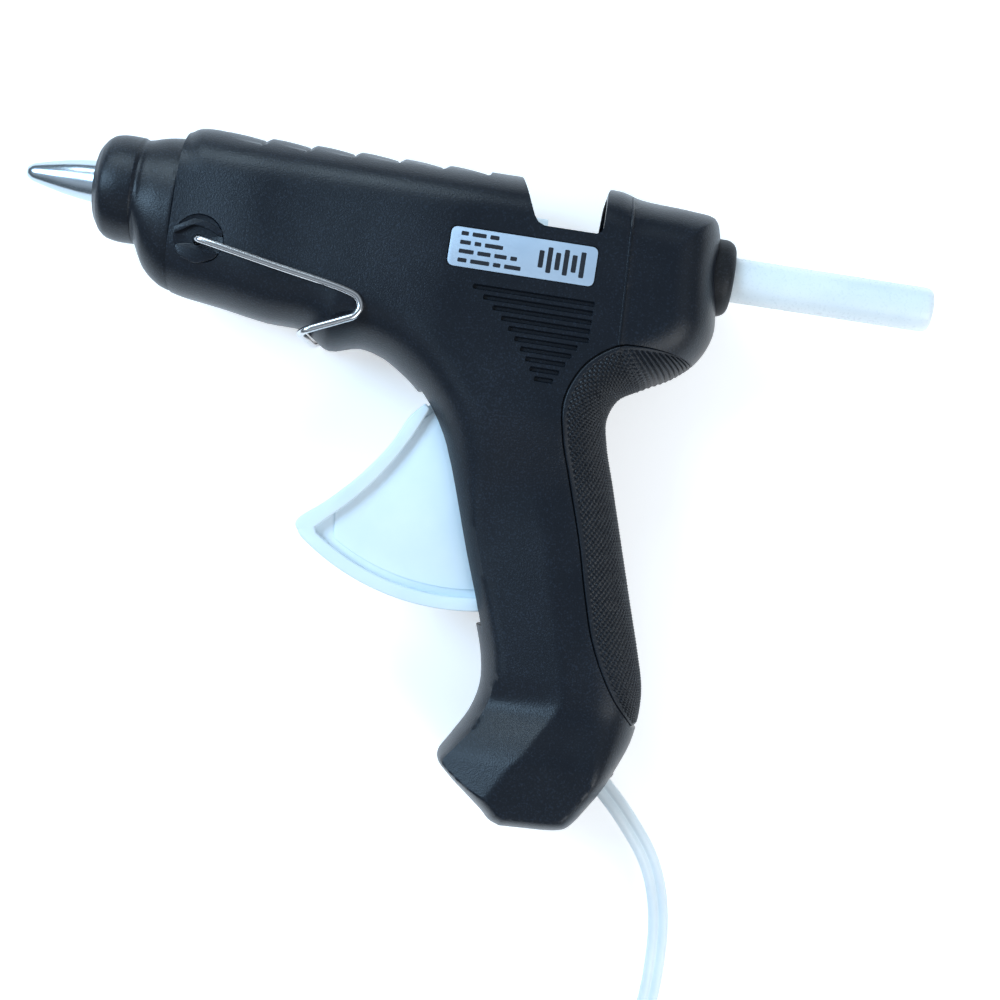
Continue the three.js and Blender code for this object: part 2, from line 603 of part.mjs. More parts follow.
function feedCarriage() {
  const { x, y, radius } = PAWL_PIN;
  const [earTop, earInner, earOuter] = [y + 1.4, 3.3, 5];
  const pinEnd = ARM_OUTER_Z + 2 * FACE_GAP;
  const tube = rodAlongX(CARRIAGE_RADIUS, x - 9.5, x + 7.5, 0, 0, 24);
  const carriage = joined(
    solid(tube),
    box(x - 3, x + 3, PAWL_TIP_Y - 0.9, earTop, -earOuter, -earInner),
    box(x - 3, x + 3, PAWL_TIP_Y - 0.9, earTop, earInner, earOuter),
    rodAlongZ(FEED_PIN_RADIUS, PIVOT.x, 0, 7, pinEnd, 12),
    rodAlongZ(FEED_PIN_RADIUS, PIVOT.x, 0, -pinEnd, -7, 12),
  );
  return toGeometry(cut(
    carriage,
    box(x - 2.1, x + 2.1, 0.5, earTop + 1, -earInner, earInner),
    rodAlongX(STICK_BORE, x - 10, x + 8, 0, 0, 24),
    rodAlongZ(radius + PIN_GAP, x, y, -6, 6, 10),
  ));
}

function gripPawl() {
  const { x, y, radius } = PAWL_PIN;
  const tip = PAWL_TIP_Y;
  const pawl = solid(plate([
    [x - 1.7, tip + 0.5], [x - 0.9, tip], [x + 0.9, tip], [x + 1.7, tip + 0.7], [x + 1.7, y + 1],
    [x - 1.7, y + 1],
  ], -3, 3));
  return toGeometry(cut(pawl, rodAlongZ(radius + FACE_GAP, x, y, -4, 4, 10)));
}

function pawlPin() {
  return rodAlongZ(PAWL_PIN.radius, PAWL_PIN.x, PAWL_PIN.y, -5, 5, 8);
}

// The trigger: a web with a flange along its finger side and its lower edge,
// a hub on the pivot pin, and two arms that reach up to the carriage's pins.
function trigger() {
  const fingerSide = [
    [88.9, -42.4], [87.4, -43.6], [85.7, -46], [84, -50], [81.7, -54], [79, -58], [75.9, -62],
    [72.3, -66], [68.2, -70], [63.3, -74], [62, -76], [62.3, -78],
  ];
  const fingerInner = [
    [68, -75.4], [71.4, -72.2], [75.5, -67.9], [79, -63.7], [82.2, -59.2], [84.9, -54.8],
    [87.1, -50.6], [88.7, -46.6], [90.3, -43.6],
  ];
  const arc = (radius, fromDegrees, toDegrees, steps) => Array.from({ length: steps + 1 }, (_, i) => (
    aboutPivot(radius, mix(fromDegrees, toDegrees, i / steps))
  ));
  const fingerFlange = plate([...fingerSide, ...fingerInner], -TRIGGER_HALF_WIDTH, TRIGGER_HALF_WIDTH);
  const lowerFlange = plate([
    [62.3, -78], ...arc(TRIGGER_REACH, 234, 285, 9), ...arc(TRIGGER_REACH - 3.4, 285, 235, 9), [68, -75.4],
  ], -TRIGGER_HALF_WIDTH, TRIGGER_HALF_WIDTH);
  const web = plate([
    [88.9, -43.4], [85, -52], [78, -62], [66, -76], ...arc(TRIGGER_REACH - 1, 236, 285, 8),
    [112, -66], [105.4, -40], [101, -30], [97, -32], [93.4, -40],
  ], -WEB_HALF_WIDTH, WEB_HALF_WIDTH);
  let body = joined(solid(fingerFlange), lowerFlange, web);
  body = joined(body, rodAlongZ(HUB_RADIUS, PIVOT.x, PIVOT.y, -ARM_OUTER_Z, ARM_OUTER_Z, 20));
  [-ARM_OUTER_Z, ARM_INNER_Z].forEach((z0) => {
    body = joined(body, plate([
      [96, -31], [104, -31], [103.6, -8], [104, 6.5], [96, 6.5], [96.4, -8],
    ], z0, z0 + ARM_OUTER_Z - ARM_INNER_Z));
  });
  const slotHalf = FEED_PIN_RADIUS + 2 * FACE_GAP;
  return toGeometry(cut(
    body,
    box(PIVOT.x - slotHalf, PIVOT.x + slotHalf, -slotHalf, 5, -BEYOND, BEYOND),
    rodAlongZ(PIVOT_PIN_RADIUS + PIN_GAP, PIVOT.x, PIVOT.y, -BEYOND, BEYOND, 16),
  ));
}

function pivotPin() {
  return rodAlongZ(PIVOT_PIN_RADIUS, PIVOT.x, PIVOT.y, -ARM_OUTER_Z - 3.2, ARM_OUTER_Z + 3.2, 16);
}

// A coil around the hub with one leg on the trigger's web and one on the shell.
function triggerSpring() {
  const [radius, start, rise] = [HUB_RADIUS + 1.3, WEB_HALF_WIDTH + 1.4, 2.3];
  const points = [[PIVOT.x + 16.5, PIVOT.y + 4.5, start]];
  for (let i = 0; i <= 40; i += 1) {
    points.push([...aboutPivot(radius, 63 + i * 22.5), start + (rise * i) / 40]);
  }
  return strand(points, 1, 1, 44, 4);
}

// ------------------------------------------------------------------ the stand
function wireStand() {
  const { x, y } = STAND_PIVOT;
  const z = STAND_LEG_Z;
  const half = [
    [x, y, z - 4.8], [x, y, z - 1.6], [x + 0.5, y - 0.1, z - 0.4], [x + 2, y - 0.36, z],
    [48, -15.7, z], [66.2, -19, z], [69.3, -20.2, z], [70.4, -22.4, z], [69.4, -24.7, z],
    [66.6, -26.2, z], [60.6, -28.9, z], [58.2, -30, z - 0.4], [57, -30.7, z - 2],
    [56.7, -30.9, z - 3.8], [56.7, -30.9, 6],
  ];
  const otherHalf = [...half].reverse().map(([px, py, pz]) => [px, py, -pz]);
  return strand([...half, ...otherHalf], 2 * STAND_WIRE_RADIUS, 2 * STAND_WIRE_RADIUS, 66, 6);
}

// ------------------------------------------------------------------ fasteners
function shellScrew([x, y, headZ]) {
  const shank = solid(rodAlongZ(SCREW_RADIUS, x, y, -headZ - 0.5, SCREW_TIP_Z, 10));
  const head = joined(shank, rodAlongZ(SCREW_HEAD_RADIUS, x, y, -headZ - 2.2, -headZ - 0.2, 12));
  return toGeometry(cut(head, box(x - 1.9, x + 1.9, y - 0.35, y + 0.35, -BEYOND, -headZ - 1.3)));
}

// ------------------------------------------------------------- cord and clamp
const EXIT_ANGLE = -Math.PI / 4;
const CORD_INSIDE = { x: 140.2, y: -123.2 };
const GROMMET_RADIUS = CORD_WIDTH / 2 + 1.5;
const CLAMP_FACE_Z = CORD_THICKNESS / 2 + FACE_GAP;
const CLAMP_SCREW_Y = CORD_WIDTH / 2 + 2.6;
const CLAMP_SCREW_RADIUS = 1;
const CLAMP_HALF_LENGTH = CLAMP_SCREW_Y + 2.6;

// Turns a shape drawn along x at the origin to lie along the cord inside the foot.
function alongCord(geometry) {
  return place(geometry.rotateZ(EXIT_ANGLE), CORD_INSIDE.x, CORD_INSIDE.y, 0);
}

function cordExitTool() {
  return alongCord(rodAlongX(GROMMET_RADIUS + FACE_GAP, 3.2, 16, 0, 0, 20));
}

function cordClampLug() {
  const half = CLAMP_HALF_LENGTH + 0.4;
  return alongCord(box(-5.6, 1.4, -half, half, CLAMP_FACE_Z + 0.1, BEYOND));
}

// One of the two holes across the cord that the clamp's screws pass through.
function clampScrewHole(side, z1) {
  return rodAlongZ(CLAMP_SCREW_RADIUS + SCREW_GAP, -2, side * CLAMP_SCREW_Y, 1, z1, 10);
}

function clampBar() {
  const bar = solid(box(-5, 1, -CLAMP_HALF_LENGTH, CLAMP_HALF_LENGTH, CLAMP_FACE_Z, CLAMP_FACE_Z + 2.4));
  const holes = [-1, 1].map((side) => clampScrewHole(side, CLAMP_FACE_Z + 4));
  return alongCord(toGeometry(cut(bar, ...holes)));
}

function clampScrew(side) {
  const seat = CLAMP_FACE_Z + 2.4 + FACE_GAP;
  const shank = solid(rodAlongZ(CLAMP_SCREW_RADIUS, -2, side * CLAMP_SCREW_Y, -8, seat + 0.3, 8));
  return alongCord(toGeometry(joined(shank, rodAlongZ(2, -2, side * CLAMP_SCREW_Y, seat, seat + 1.5, 10))));
}

function cordGrommet() {
  const ring = solid(rodAlongX(GROMMET_RADIUS, 3.4, 8.6, 0, 0, 20));
  const [halfY, halfZ] = [CORD_WIDTH / 2 + BORE_GAP, CLAMP_FACE_Z];
  return alongCord(toGeometry(cut(ring, box(3, 9, -halfY, halfY, -halfZ, halfZ))));
}

function cordLead() {
  return strand(CORD_ROUTE, CORD_WIDTH, CORD_THICKNESS, 24, 8);
}

// The rest of the cord, wound into a neat bundle that lies on the bench.
function cordCoil() {
  const { x, y } = COIL_CENTRE;
  const [inner, outer] = [COIL_MEAN_RADIUS - COIL_BUNDLE, COIL_MEAN_RADIUS + COIL_BUNDLE];
  const profile = [
    [-COIL_BUNDLE + 1, inner], [-COIL_BUNDLE, inner + 1], [-COIL_BUNDLE, outer - 1], [-COIL_BUNDLE + 1, outer],
    [COIL_BUNDLE - 1, outer], [COIL_BUNDLE, outer - 1], [COIL_BUNDLE, inner + 1], [COIL_BUNDLE - 1, inner],
  ];
  const ring = turned(profile, 32).rotateY(Math.PI / 2);
  return place(ring, x, y, COIL_BUNDLE - HALF_WIDTH + 0.1);
}

// A twist tie round one side of the bundle.
function coilTie() {
  const { x, y } = COIL_CENTRE;
  const size = COIL_BUNDLE + 0.3;
  const loop = solid(box(-size - 0.8, size + 0.8, -2, 2, -size + 0.3, size + 0.8));
  const band = cut(loop, box(-size, size, -3, 3, -size - 1, size));
  return place(toGeometry(band), x + COIL_MEAN_RADIUS, y, COIL_BUNDLE - HALF_WIDTH + 0.1);
}

const PLUG = { x: 202, y: -270, z: -12.8 };
const BLADE_OFFSET = 6.35;
const BLADE_HALF_THICKNESS = 0.3;
const BLADE_HALF_WIDTH = 3.15;
const BLADE_TIP_X = 29;

function plugBody() {
  const front = [[-12, 3.4, 2.2], [-9, 4, 2.8], [-4, 7.6, 5.4], [2, 9, 6], [10, 9, 6], [11, 8.4, 5.4]];
  const rings = front.map(([x, halfY, halfZ]) => Array.from({ length: 16 }, (_, i) => {
    const angle = (2 * Math.PI * i) / 16;
    const [c, s] = [Math.cos(angle), Math.sin(angle)];
    return [x, halfY * Math.sign(c) * Math.abs(c) ** 0.5, halfZ * Math.sign(s) * Math.abs(s) ** 0.5];
  }));
  const halfSlot = BLADE_HALF_THICKNESS + FACE_GAP / 2;
  const slots = [-BLADE_OFFSET, BLADE_OFFSET].map((y) => (
    box(4, 12, y - halfSlot, y + halfSlot, -BLADE_HALF_WIDTH - BORE_GAP, BLADE_HALF_WIDTH + BORE_GAP)
  ));
  return place(toGeometry(cut(solid(ringLoft(rings)), ...slots)), PLUG.x, PLUG.y, PLUG.z);
}

function plugBlade(side) {
  const [deep, high] = [BLADE_HALF_THICKNESS, BLADE_HALF_WIDTH];
  const blade = box(4.4, BLADE_TIP_X, -deep, deep, -high, high);
  return place(blade, PLUG.x, PLUG.y + side * BLADE_OFFSET, PLUG.z);
}

function coilTail() {
  return strand([
    [166.8, -231, -12.8], [166.5, -240, -12.8], [166.5, -248, -12.8], [168.2, -256.4, -12.8],
    [172.9, -263.6, -12.8], [180.1, -268.3, -12.8], [189.2, -270, -12.8],
  ], CORD_WIDTH, CORD_THICKNESS, 14, 8);
}

// -------------------------------------------------------------- inside wiring
function heaterLead(side) {
  const wallZ = HANDLE_HALF_WIDTH - WALL;
  const points = [
    [131.6, -109, 3.4], [129, -100, 7.2], [123, -80, wallZ - 3.2], [115.5, -58, wallZ - 1.2],
    [109.6, -46, wallZ - 0.7], [108.2, -35, ARM_OUTER_Z + 2.1], [102.5, -24.5, ARM_OUTER_Z + 2.5],
    [88, -20, ARM_OUTER_Z + 2], [76, -18.6, 10.6], [66, -17.2, 6.4], [55, -14.2, 2.2],
  ];
  return strand(points.map(([x, y, z]) => [x, y, side * z]), 1.6, 1.6, 30, 5);
}

function crimpSleeve(side) {
  const sleeve = rodAlongX(1.7, -4, 4, 0, 0, 10).rotateZ(-1.2);
  return place(sleeve, 133.6, -113.6, side * 3.4);
}

// -------------------------------------------------------------------- the set
const LOOKS = {
  shell: [0x22262e, 0.55, 0], nose: [0x1c1f26, 0.6, 0], rubber: [0x1f242c, 0.8, 0],
  black: [0x17191e, 0.6, 0], white: [0xdfe8ec, 0.4, 0], glue: [0xe9edee, 0.35, 0],
  steel: [0xb8bcc2, 0.25, 1], aluminium: [0xb9bcc0, 0.35, 1], brass: [0xc9a24f, 0.35, 1],
  ceramic: [0x8f8a84, 0.7, 0], film: [0xc98a2e, 0.4, 0], silicone: [0xb4573c, 0.7, 0],
  label: [0x9fb0c4, 0.35, 0.6], cord: [0xe4e8ea, 0.5, 0],
};

const group = new THREE.Group();

function add(name, look, geometry) {
  const [color, roughness, metalness] = LOOKS[look];
  const mesh = new THREE.Mesh(geometry, new THREE.MeshStandardMaterial({ color, roughness, metalness }));
  mesh.name = name;
  mesh.position.set(-PIVOT.x, 0, HALF_WIDTH);
  group.add(mesh);
}

add('left_shell', 'shell', shellHalf(false));
add('right_shell', 'shell', shellHalf(true));
add('left_grip_pad', 'rubber', gripPad(false));
add('right_grip_pad', 'rubber', gripPad(true));
add('rating_label', 'label', ratingLabel());
add('nose_piece', 'nose', nosePiece());
add('nozzle', 'aluminium', nozzle());
add('valve_ball', 'steel', valveBall());
add('valve_spring', 'steel', valveSpring());
add('heating_chamber', 'aluminium', heatingChamber());
add('heater_film', 'film', heaterFilm());
add('upper_contact', 'brass', contactStrip(UPPER_CONTACT_TOP_Y - CONTACT_THICKNESS));
add('ptc_heater', 'ceramic', ptcHeater());
add('lower_contact', 'brass', contactStrip(LOWER_CONTACT_BOTTOM_Y));
add('inlet_sleeve', 'silicone', inletSleeve());
add('sleeve_clip', 'steel', sleeveClip());
add('glue_stick', 'glue', glueStick());
add('rear_guide_bush', 'black', rearGuideBush());
add('feed_carriage', 'white', feedCarriage());
add('grip_pawl', 'steel', gripPawl());
add('pawl_pin', 'steel', pawlPin());
add('trigger', 'white', trigger());
add('trigger_pivot_pin', 'steel', pivotPin());
add('trigger_spring', 'steel', triggerSpring());
add('wire_stand', 'steel', wireStand());
SCREWS.forEach((spot, i) => add(`shell_screw_${i + 1}`, 'steel', shellScrew(spot)));
add('cord_clamp_bar', 'black', clampBar());
add('clamp_screw_upper', 'steel', clampScrew(1));
add('clamp_screw_lower', 'steel', clampScrew(-1));
add('cord_grommet', 'black', cordGrommet());
add('crimp_left', 'steel', crimpSleeve(1));
add('crimp_right', 'steel', crimpSleeve(-1));
add('heater_lead_left', 'cord', heaterLead(1));
add('heater_lead_right', 'cord', heaterLead(-1));
add('cord_lead', 'cord', cordLead());
add('cord_coil', 'cord', cordCoil());
add('cord_tail', 'cord', coilTail());
add('coil_tie', 'black', coilTie());
add('plug_body', 'cord', plugBody());
add('plug_blade_upper', 'brass', plugBlade(1));
add('plug_blade_lower', 'brass', plugBlade(-1));

export default group;
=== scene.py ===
"""A corded hot glue gun lying on its right side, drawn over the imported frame.

Shapes are worked out in the drawing frame of the part, in millimetres: x back
along the barrel from the nose collar, y up from the barrel axis, z out of the
left side from the parting plane. to_row() turns that into the row's frame.
"""
import math

import bmesh
import bpy
import numpy as np
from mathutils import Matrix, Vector


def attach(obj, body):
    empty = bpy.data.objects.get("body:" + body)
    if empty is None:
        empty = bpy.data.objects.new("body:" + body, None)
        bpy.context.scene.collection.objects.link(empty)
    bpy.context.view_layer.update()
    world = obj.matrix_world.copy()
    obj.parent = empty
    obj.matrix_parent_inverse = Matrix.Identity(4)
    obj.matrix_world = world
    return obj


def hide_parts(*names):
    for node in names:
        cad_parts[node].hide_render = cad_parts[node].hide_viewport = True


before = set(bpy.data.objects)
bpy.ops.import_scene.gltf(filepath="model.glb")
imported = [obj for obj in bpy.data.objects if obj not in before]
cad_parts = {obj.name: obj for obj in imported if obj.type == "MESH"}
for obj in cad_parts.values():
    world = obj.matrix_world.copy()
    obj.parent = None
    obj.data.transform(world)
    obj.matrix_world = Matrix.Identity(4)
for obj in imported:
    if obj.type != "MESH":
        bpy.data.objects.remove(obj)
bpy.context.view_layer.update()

# ------------------------------------------------------------------ dimensions
MM = 0.001
PIVOT_X, PIVOT_Y = 100.0, -32.0
HALF_WIDTH = 19.0
CROWN = 0.25
NOSE_HALF_WIDTH = 15.0
BARREL_HALF_WIDTH = 16.4
HANDLE_HALF_WIDTH = 16.0
EDGE_ROUND = 13.0
FOOT_ROUND = 5.0
ROUND_POWER = 2.2
CREASE_SOFTNESS = 0.3
WALL = 2.6
PARTING_GAP = 0.06
SEAM_X = 21.5
NOTCH_FLOOR_Y = 3.4
TRIGGER_REACH = 60.0
TRIGGER_HALF_WIDTH = 7.0
WEB_HALF_WIDTH = 4.0
STICK_RADIUS = 5.6
STAND_PIVOT = (28.9, -12.2)
STAND_WIRE_RADIUS = 0.9
STAND_LEG_Z = 17.8
PAD_DEPTH = 1.0
PAD_GAP = 0.3
PAD_PITCH = 1.45
PAD_COLUMNS = 124
PAD_EDGE_Z = 0.15
FIRST_DIP = 40.2
DIP_COUNT = 6
DIP_PITCH = 11.1
DIP_DEPTH = 0.85
DIP_STEP_SHARE = 0.16
TICK_DEPTH = 0.6
VENT_TOP_Y = -13.5
VENT_PITCH = 2.19
VENT_WIDTH = 0.95
VENT_DEPTH = 1.0
SCREW_RADIUS = 1.5
SCREW_HEAD_HOLE = 3.1
LABEL_BOX = (89.4, 124.9, -9.4, 0.1)
LABEL_MARGIN = 0.3
BLADE_OFFSET = 6.35

# The view: straight down on the left side, with a little roll.
VIEW_CENTRE = (110.7, -63.2)
VIEW_ROLL = math.radians(8.8)
VIEW_HEIGHT = 450.0
VIEW_WIDTH = 250.0

# The cord: its route outside the handle, as in the CAD source, then the coil.
CORD_WIDTH = 5.2
CORD_THICKNESS = 2.6
CORD_EXIT = (146.3, -129.3, 0.0)
CORD_ROUTE = [
    (135.3, -118.3, 0), (146.3, -129.3, 0), (153.5, -136.6, -0.6), (162, -148, -5),
    (167, -162, -11.5), (168.5, -179, -16), (167.2, -197, -17.3), (166.6, -213, -17.3),
]
COIL_START = 205.0
COIL_CENTRE = (205.0, -224.0)
COIL_TURNS = 6.85
COIL_RADII = (27.4, 32.6)
CORD_TAIL = [
    (166.8, -231, -12.8), (166.5, -240, -12.8), (166.5, -248, -12.8), (168.2, -256.4, -12.8),
    (172.9, -263.6, -12.8), (180.1, -268.3, -12.8), (189.2, -270, -12.8),
]
PLUG = (202.0, -270.0, -12.8)

# The outline, as pairs: a point on the lower, front line and the one across
# from it on the upper, back line.
OUTLINE = [
    ((21.5, -24.5), (21.5, 15.5)), ((24, -25.1), (24, 16.8)), ((34, -26.5), (34, 16.9)),
    ((46, -28.4), (46, 16.9)), ((55.5, -28.9), (56, 16.9)), ((58.5, -30.7), (61, 16.9)),
    ((62.5, -32.9), (67, 16.9)), ((70, -31.2), (78, 16.9)), ((76, -32.6), (90, 16.9)),
    ((80, -34.8), (102, 16.9)), ((84, -37.6), (116, 16.95)), ((86.5, -39.8), (129, 17)),
    ((88.5, -42), (134, 15.7)), ((90, -43.8), (147, 14.9)), ((91, -45.3), (153, 13.8)),
    ((91.8, -46.5), (155, 9)), ((92.4, -47.6), (155.6, 0)), ((93, -48.7), (156.6, -9)),
    ((93.6, -49.8), (156.8, -15)), ((94.1, -50.9), (154, -21.7)), ((94.8, -52.5), (149, -26.6)),
    ((95.6, -54.8), (142, -30.6)), ((96.2, -56.3), (136.2, -34.2)), ((97.8, -61), (134, -39.5)),
    ((99.5, -66), (135, -46)), ((101.5, -72), (138, -55.5)), ((103.8, -78.7), (142.5, -70)),
    ((106.5, -86), (147, -84.5)), ((109.3, -94), (150.3, -95)), ((111.8, -102), (152.6, -103.5)),
    ((112.6, -109), (153, -110)), ((111, -116), (152, -117.5)), ((107, -123.5), (148.5, -126)),
    ((104.8, -128), (145.7, -131.4)), ((108, -131.8), (143.4, -135)), ((113, -135.8), (141.2, -138.3)),
    ((117.3, -139.2), (139, -140.6)), ((119.6, -141.3), (136.4, -141.5)), ((122.4, -142.4), (133, -141.9)),
]
GRIP_OUTLINE = [
    (158, -24), (149, -22.4), (143.8, -21.7), (137.9, -21.5), (133, -22.2), (125.8, -27.7), (121.9, -36.8),
    (123, -46), (126.2, -55.9), (130.7, -69.7), (134.4, -83.5), (138.1, -94.8), (144.5, -106.2),
    (150.8, -113.2), (158, -116),
]


def to_row(x, y, z):
    return ((x - PIVOT_X) * MM, y * MM, (z + HALF_WIDTH) * MM)


# --------------------------------------------------------------- mesh helpers
def link_object(name, data):
    obj = bpy.data.objects.new(name, data)
    bpy.context.scene.collection.objects.link(obj)
    return obj


def mesh_from(name, verts, faces):
    mesh = bpy.data.meshes.new(name)
    mesh.from_pydata([to_row(*v) for v in verts], [], [tuple(f) for f in faces])
    return mesh


def piece(name, verts, faces, slot, material, node=None, body="base", smooth=40):
    """A mesh object from drawing-frame points, riding on a body."""
    mesh = mesh_from(name, verts, faces)
    mesh.validate()
    obj = link_object(name, mesh)
    finish_piece(obj, material, node, body, smooth)
    return obj


def finish_piece(obj, material, node=None, body="base", smooth=40):
    clean_normals(obj.data)
    shade(obj.data, smooth)
    obj.data.materials.clear()
    obj.data.materials.append(material)
    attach(obj, body)
    if node is not None:
        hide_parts(*([node] if isinstance(node, str) else node))


def clean_normals(mesh):
    work = bmesh.new()
    work.from_mesh(mesh)
    bmesh.ops.remove_doubles(work, verts=work.verts, dist=2e-7)
    bmesh.ops.recalc_face_normals(work, faces=work.faces)
    work.to_mesh(mesh)
    work.free()


def shade(mesh, degrees):
    mesh.shade_smooth()
    mesh.set_sharp_from_angle(angle=math.radians(degrees))


def apply_modifiers(obj):
    graph = bpy.context.evaluated_depsgraph_get()
    mesh = bpy.data.meshes.new_from_object(obj.evaluated_get(graph))
    obj.modifiers.clear()
    obj.data = mesh


def loose(name, verts, faces):
    """A helper mesh that isn't a piece of the object, such as a cutter."""
    mesh = mesh_from(name, verts, faces)
    obj = link_object(name, mesh)
    clean_normals(mesh)
    return obj


def combine(obj, tools, operation="DIFFERENCE"):
    """Cuts obj by each tool, or joins them to it, and removes the tools."""
    for tool in tools:
        step = obj.modifiers.new("cut", "BOOLEAN")
        step.operation = operation
        step.solver = "MANIFOLD"
        step.object = tool
        apply_modifiers(obj)
        bpy.data.objects.remove(tool)


def add_bevel(obj, width_mm, segments, degrees):
    step = obj.modifiers.new("edge", "BEVEL")
    step.width = width_mm * MM
    step.segments = segments
    step.limit_method = "ANGLE"
    step.angle_limit = math.radians(degrees)
    return step


def bevel(obj, width_mm, segments=2, degrees=35):
    add_bevel(obj, width_mm, segments, degrees).harden_normals = False
    apply_modifiers(obj)


def ring_loft(rings):
    """Verts and faces of a closed skin through rings with the same number of points."""
    count = len(rings[0])
    verts = [p for ring in rings for p in ring]
    faces = []
    for r in range(len(rings) - 1):
        for i in range(count):
            a, b = r * count + i, r * count + (i + 1) % count
            faces.append((a, b, b + count, a + count))
    faces.append(tuple(range(count))[::-1])
    faces.append(tuple((len(rings) - 1) * count + i for i in range(count)))
    return verts, faces


def between_grids(top, under):
    """Verts and faces of the solid between two grids of points of the same size."""
    rows, columns = top.shape[:2]
    total = rows * columns
    verts = [tuple(p) for p in top.reshape(-1, 3)] + [tuple(p) for p in under.reshape(-1, 3)]
    faces = []
    for i in range(rows - 1):
        for j in range(columns - 1):
            a = i * columns + j
            faces.append((a, a + 1, a + columns + 1, a + columns))
            faces.append((total + a, total + a + columns, total + a + columns + 1, total + a + 1))
    rim = [i * columns for i in range(rows)] + [(rows - 1) * columns + j for j in range(1, columns)]
    rim += [i * columns + columns - 1 for i in range(rows - 2, -1, -1)] + list(range(columns - 2, 0, -1))
    for a, b in zip(rim, rim[1:] + rim[:1]):
        faces.append((a, b, total + b, total + a))
    return verts, faces


def turned(profile, segments=96):
    """A body turned about an axis along x, from a closed list of (x, radius)."""
    verts, faces, rows = [], [], []
    for x, radius in profile:
        if radius < 1e-6:
            rows.append([len(verts)] * segments)
            verts.append((x, 0, 0))
            continue
        row = []
        for i in range(segments):
            angle = 2 * math.pi * i / segments
            row.append(len(verts))
            verts.append((x, radius * math.cos(angle), radius * math.sin(angle)))
        rows.append(row)
    for k, row in enumerate(rows):
        following = rows[(k + 1) % len(rows)]
        for i in range(segments):
            j = (i + 1) % segments
            corners = [row[i], row[j], following[j], following[i]]
            kept = [c for n, c in enumerate(corners) if c not in corners[:n]]
            if len(kept) > 2:
                faces.append(kept)
    return verts, faces


def rounded(points, radius, steps=5):
    """The closed outline with its corners rounded; radius is one value or one each."""
    radii = radius if isinstance(radius, (list, tuple)) else [radius] * len(points)
    result = []
    for i, (x, y) in enumerate(points):
        here = Vector((x, y))
        before = Vector(points[i - 1]) - here
        after = Vector(points[(i + 1) % len(points)]) - here
        reach = min(radii[i], 0.45 * before.length, 0.45 * after.length)
        start = here + before.normalized() * reach
        end = here + after.normalized() * reach
        for k in range(steps + 1):
            t = k / steps
            spot = start * (1 - t) ** 2 + here * 2 * t * (1 - t) + end * t ** 2
            result.append((spot.x, spot.y))
    return result


def plate(points, z0, z1):
    count = len(points)
    verts = [(x, y, z0) for x, y in points] + [(x, y, z1) for x, y in points]
    faces = [tuple(range(count))[::-1], tuple(range(count, 2 * count))]
    faces += [(i, (i + 1) % count, count + (i + 1) % count, count + i) for i in range(count)]
    return verts, faces


def plate_y(points, y0, y1):
    """A plate of (x, z) points that is thick along y."""
    verts, faces = plate(points, y0, y1)
    return [(x, y, z) for x, z, y in verts], [face[::-1] for face in faces]


def rectangle(x0, x1, y0, y1):
    return [(x0, y0), (x1, y0), (x1, y1), (x0, y1)]


def box(x0, x1, y0, y1, z0, z1):
    return plate(rectangle(x0, x1, y0, y1), z0, z1)


def circle(radius, x, y, segments):
    turns = [2 * math.pi * i / segments for i in range(segments)]
    return [(x + radius * math.cos(turn), y + radius * math.sin(turn)) for turn in turns]


def rod_z(radius, x, y, z0, z1, segments=40):
    return plate(circle(radius, x, y, segments), z0, z1)


def smooth_line(points, per_span):
    """A centripetal Catmull-Rom line through points of any dimension."""
    p = np.array(points, dtype=float)
    p = np.vstack([2 * p[0] - p[1], p, 2 * p[-1] - p[-2]])
    line = []
    for i in range(1, len(p) - 2):
        p0, p1, p2, p3 = p[i - 1:i + 3]
        d0, d1, d2 = (max(np.linalg.norm(b - a) ** 0.5, 1e-6) for a, b in ((p0, p1), (p1, p2), (p2, p3)))
        m1 = ((p1 - p0) / d0 - (p2 - p0) / (d0 + d1) + (p2 - p1) / d1) * d1
        m2 = ((p2 - p1) / d1 - (p3 - p1) / (d1 + d2) + (p3 - p2) / d2) * d1
        for k in range(per_span):
            t = k / per_span
            line.append((2 * t ** 3 - 3 * t ** 2 + 1) * p1 + (t ** 3 - 2 * t ** 2 + t) * m1
                        + (3 * t ** 2 - 2 * t ** 3) * p2 + (t ** 3 - t ** 2) * m2)
    line.append(p[-2])
    return np.array(line)


def sweep(points, section, up=(0, 0, 1), carried=False):
    """A strand along points; section is a list of (along up, across) offsets.

    Its up side stays level, or is carried on from point to point.
    """
    p = np.array(points, dtype=float)
    along = np.gradient(p, axis=0)
    along /= np.linalg.norm(along, axis=1)[:, None]
    level = np.array(up, dtype=float)
    rings = []
    for spot, forward in zip(p, along):
        rise = level - forward * level.dot(forward)
        rise /= np.linalg.norm(rise)
        level = rise if carried else level
        side = np.cross(forward, rise)
        rings.append([tuple(spot + rise * a + side * b) for a, b in section])
    return ring_loft(rings)


def round_section(radius, corners=20):
    return [(radius * math.cos(2 * math.pi * i / corners), radius * math.sin(2 * math.pi * i / corners))
            for i in range(corners)]


# ------------------------------------------------------------------ materials
def new_material(name, color, roughness, metallic=0.0):
    material = bpy.data.materials.new(name)
    material.use_nodes = True
    shader = material.node_tree.nodes["Principled BSDF"]
    shader.inputs["Base Color"].default_value = (*color, 1)
    shader.inputs["Roughness"].default_value = roughness
    shader.inputs["Metallic"].default_value = metallic
    return material, material.node_tree, shader


def add_node(tree, kind, **settings):
    node = tree.nodes.new(kind)
    for key, value in settings.items():
        if key in node.inputs:
            node.inputs[key].default_value = value
        else:
            setattr(node, key, value)
    return node


def object_coords(tree):
    return add_node(tree, "ShaderNodeTexCoord").outputs["Object"]


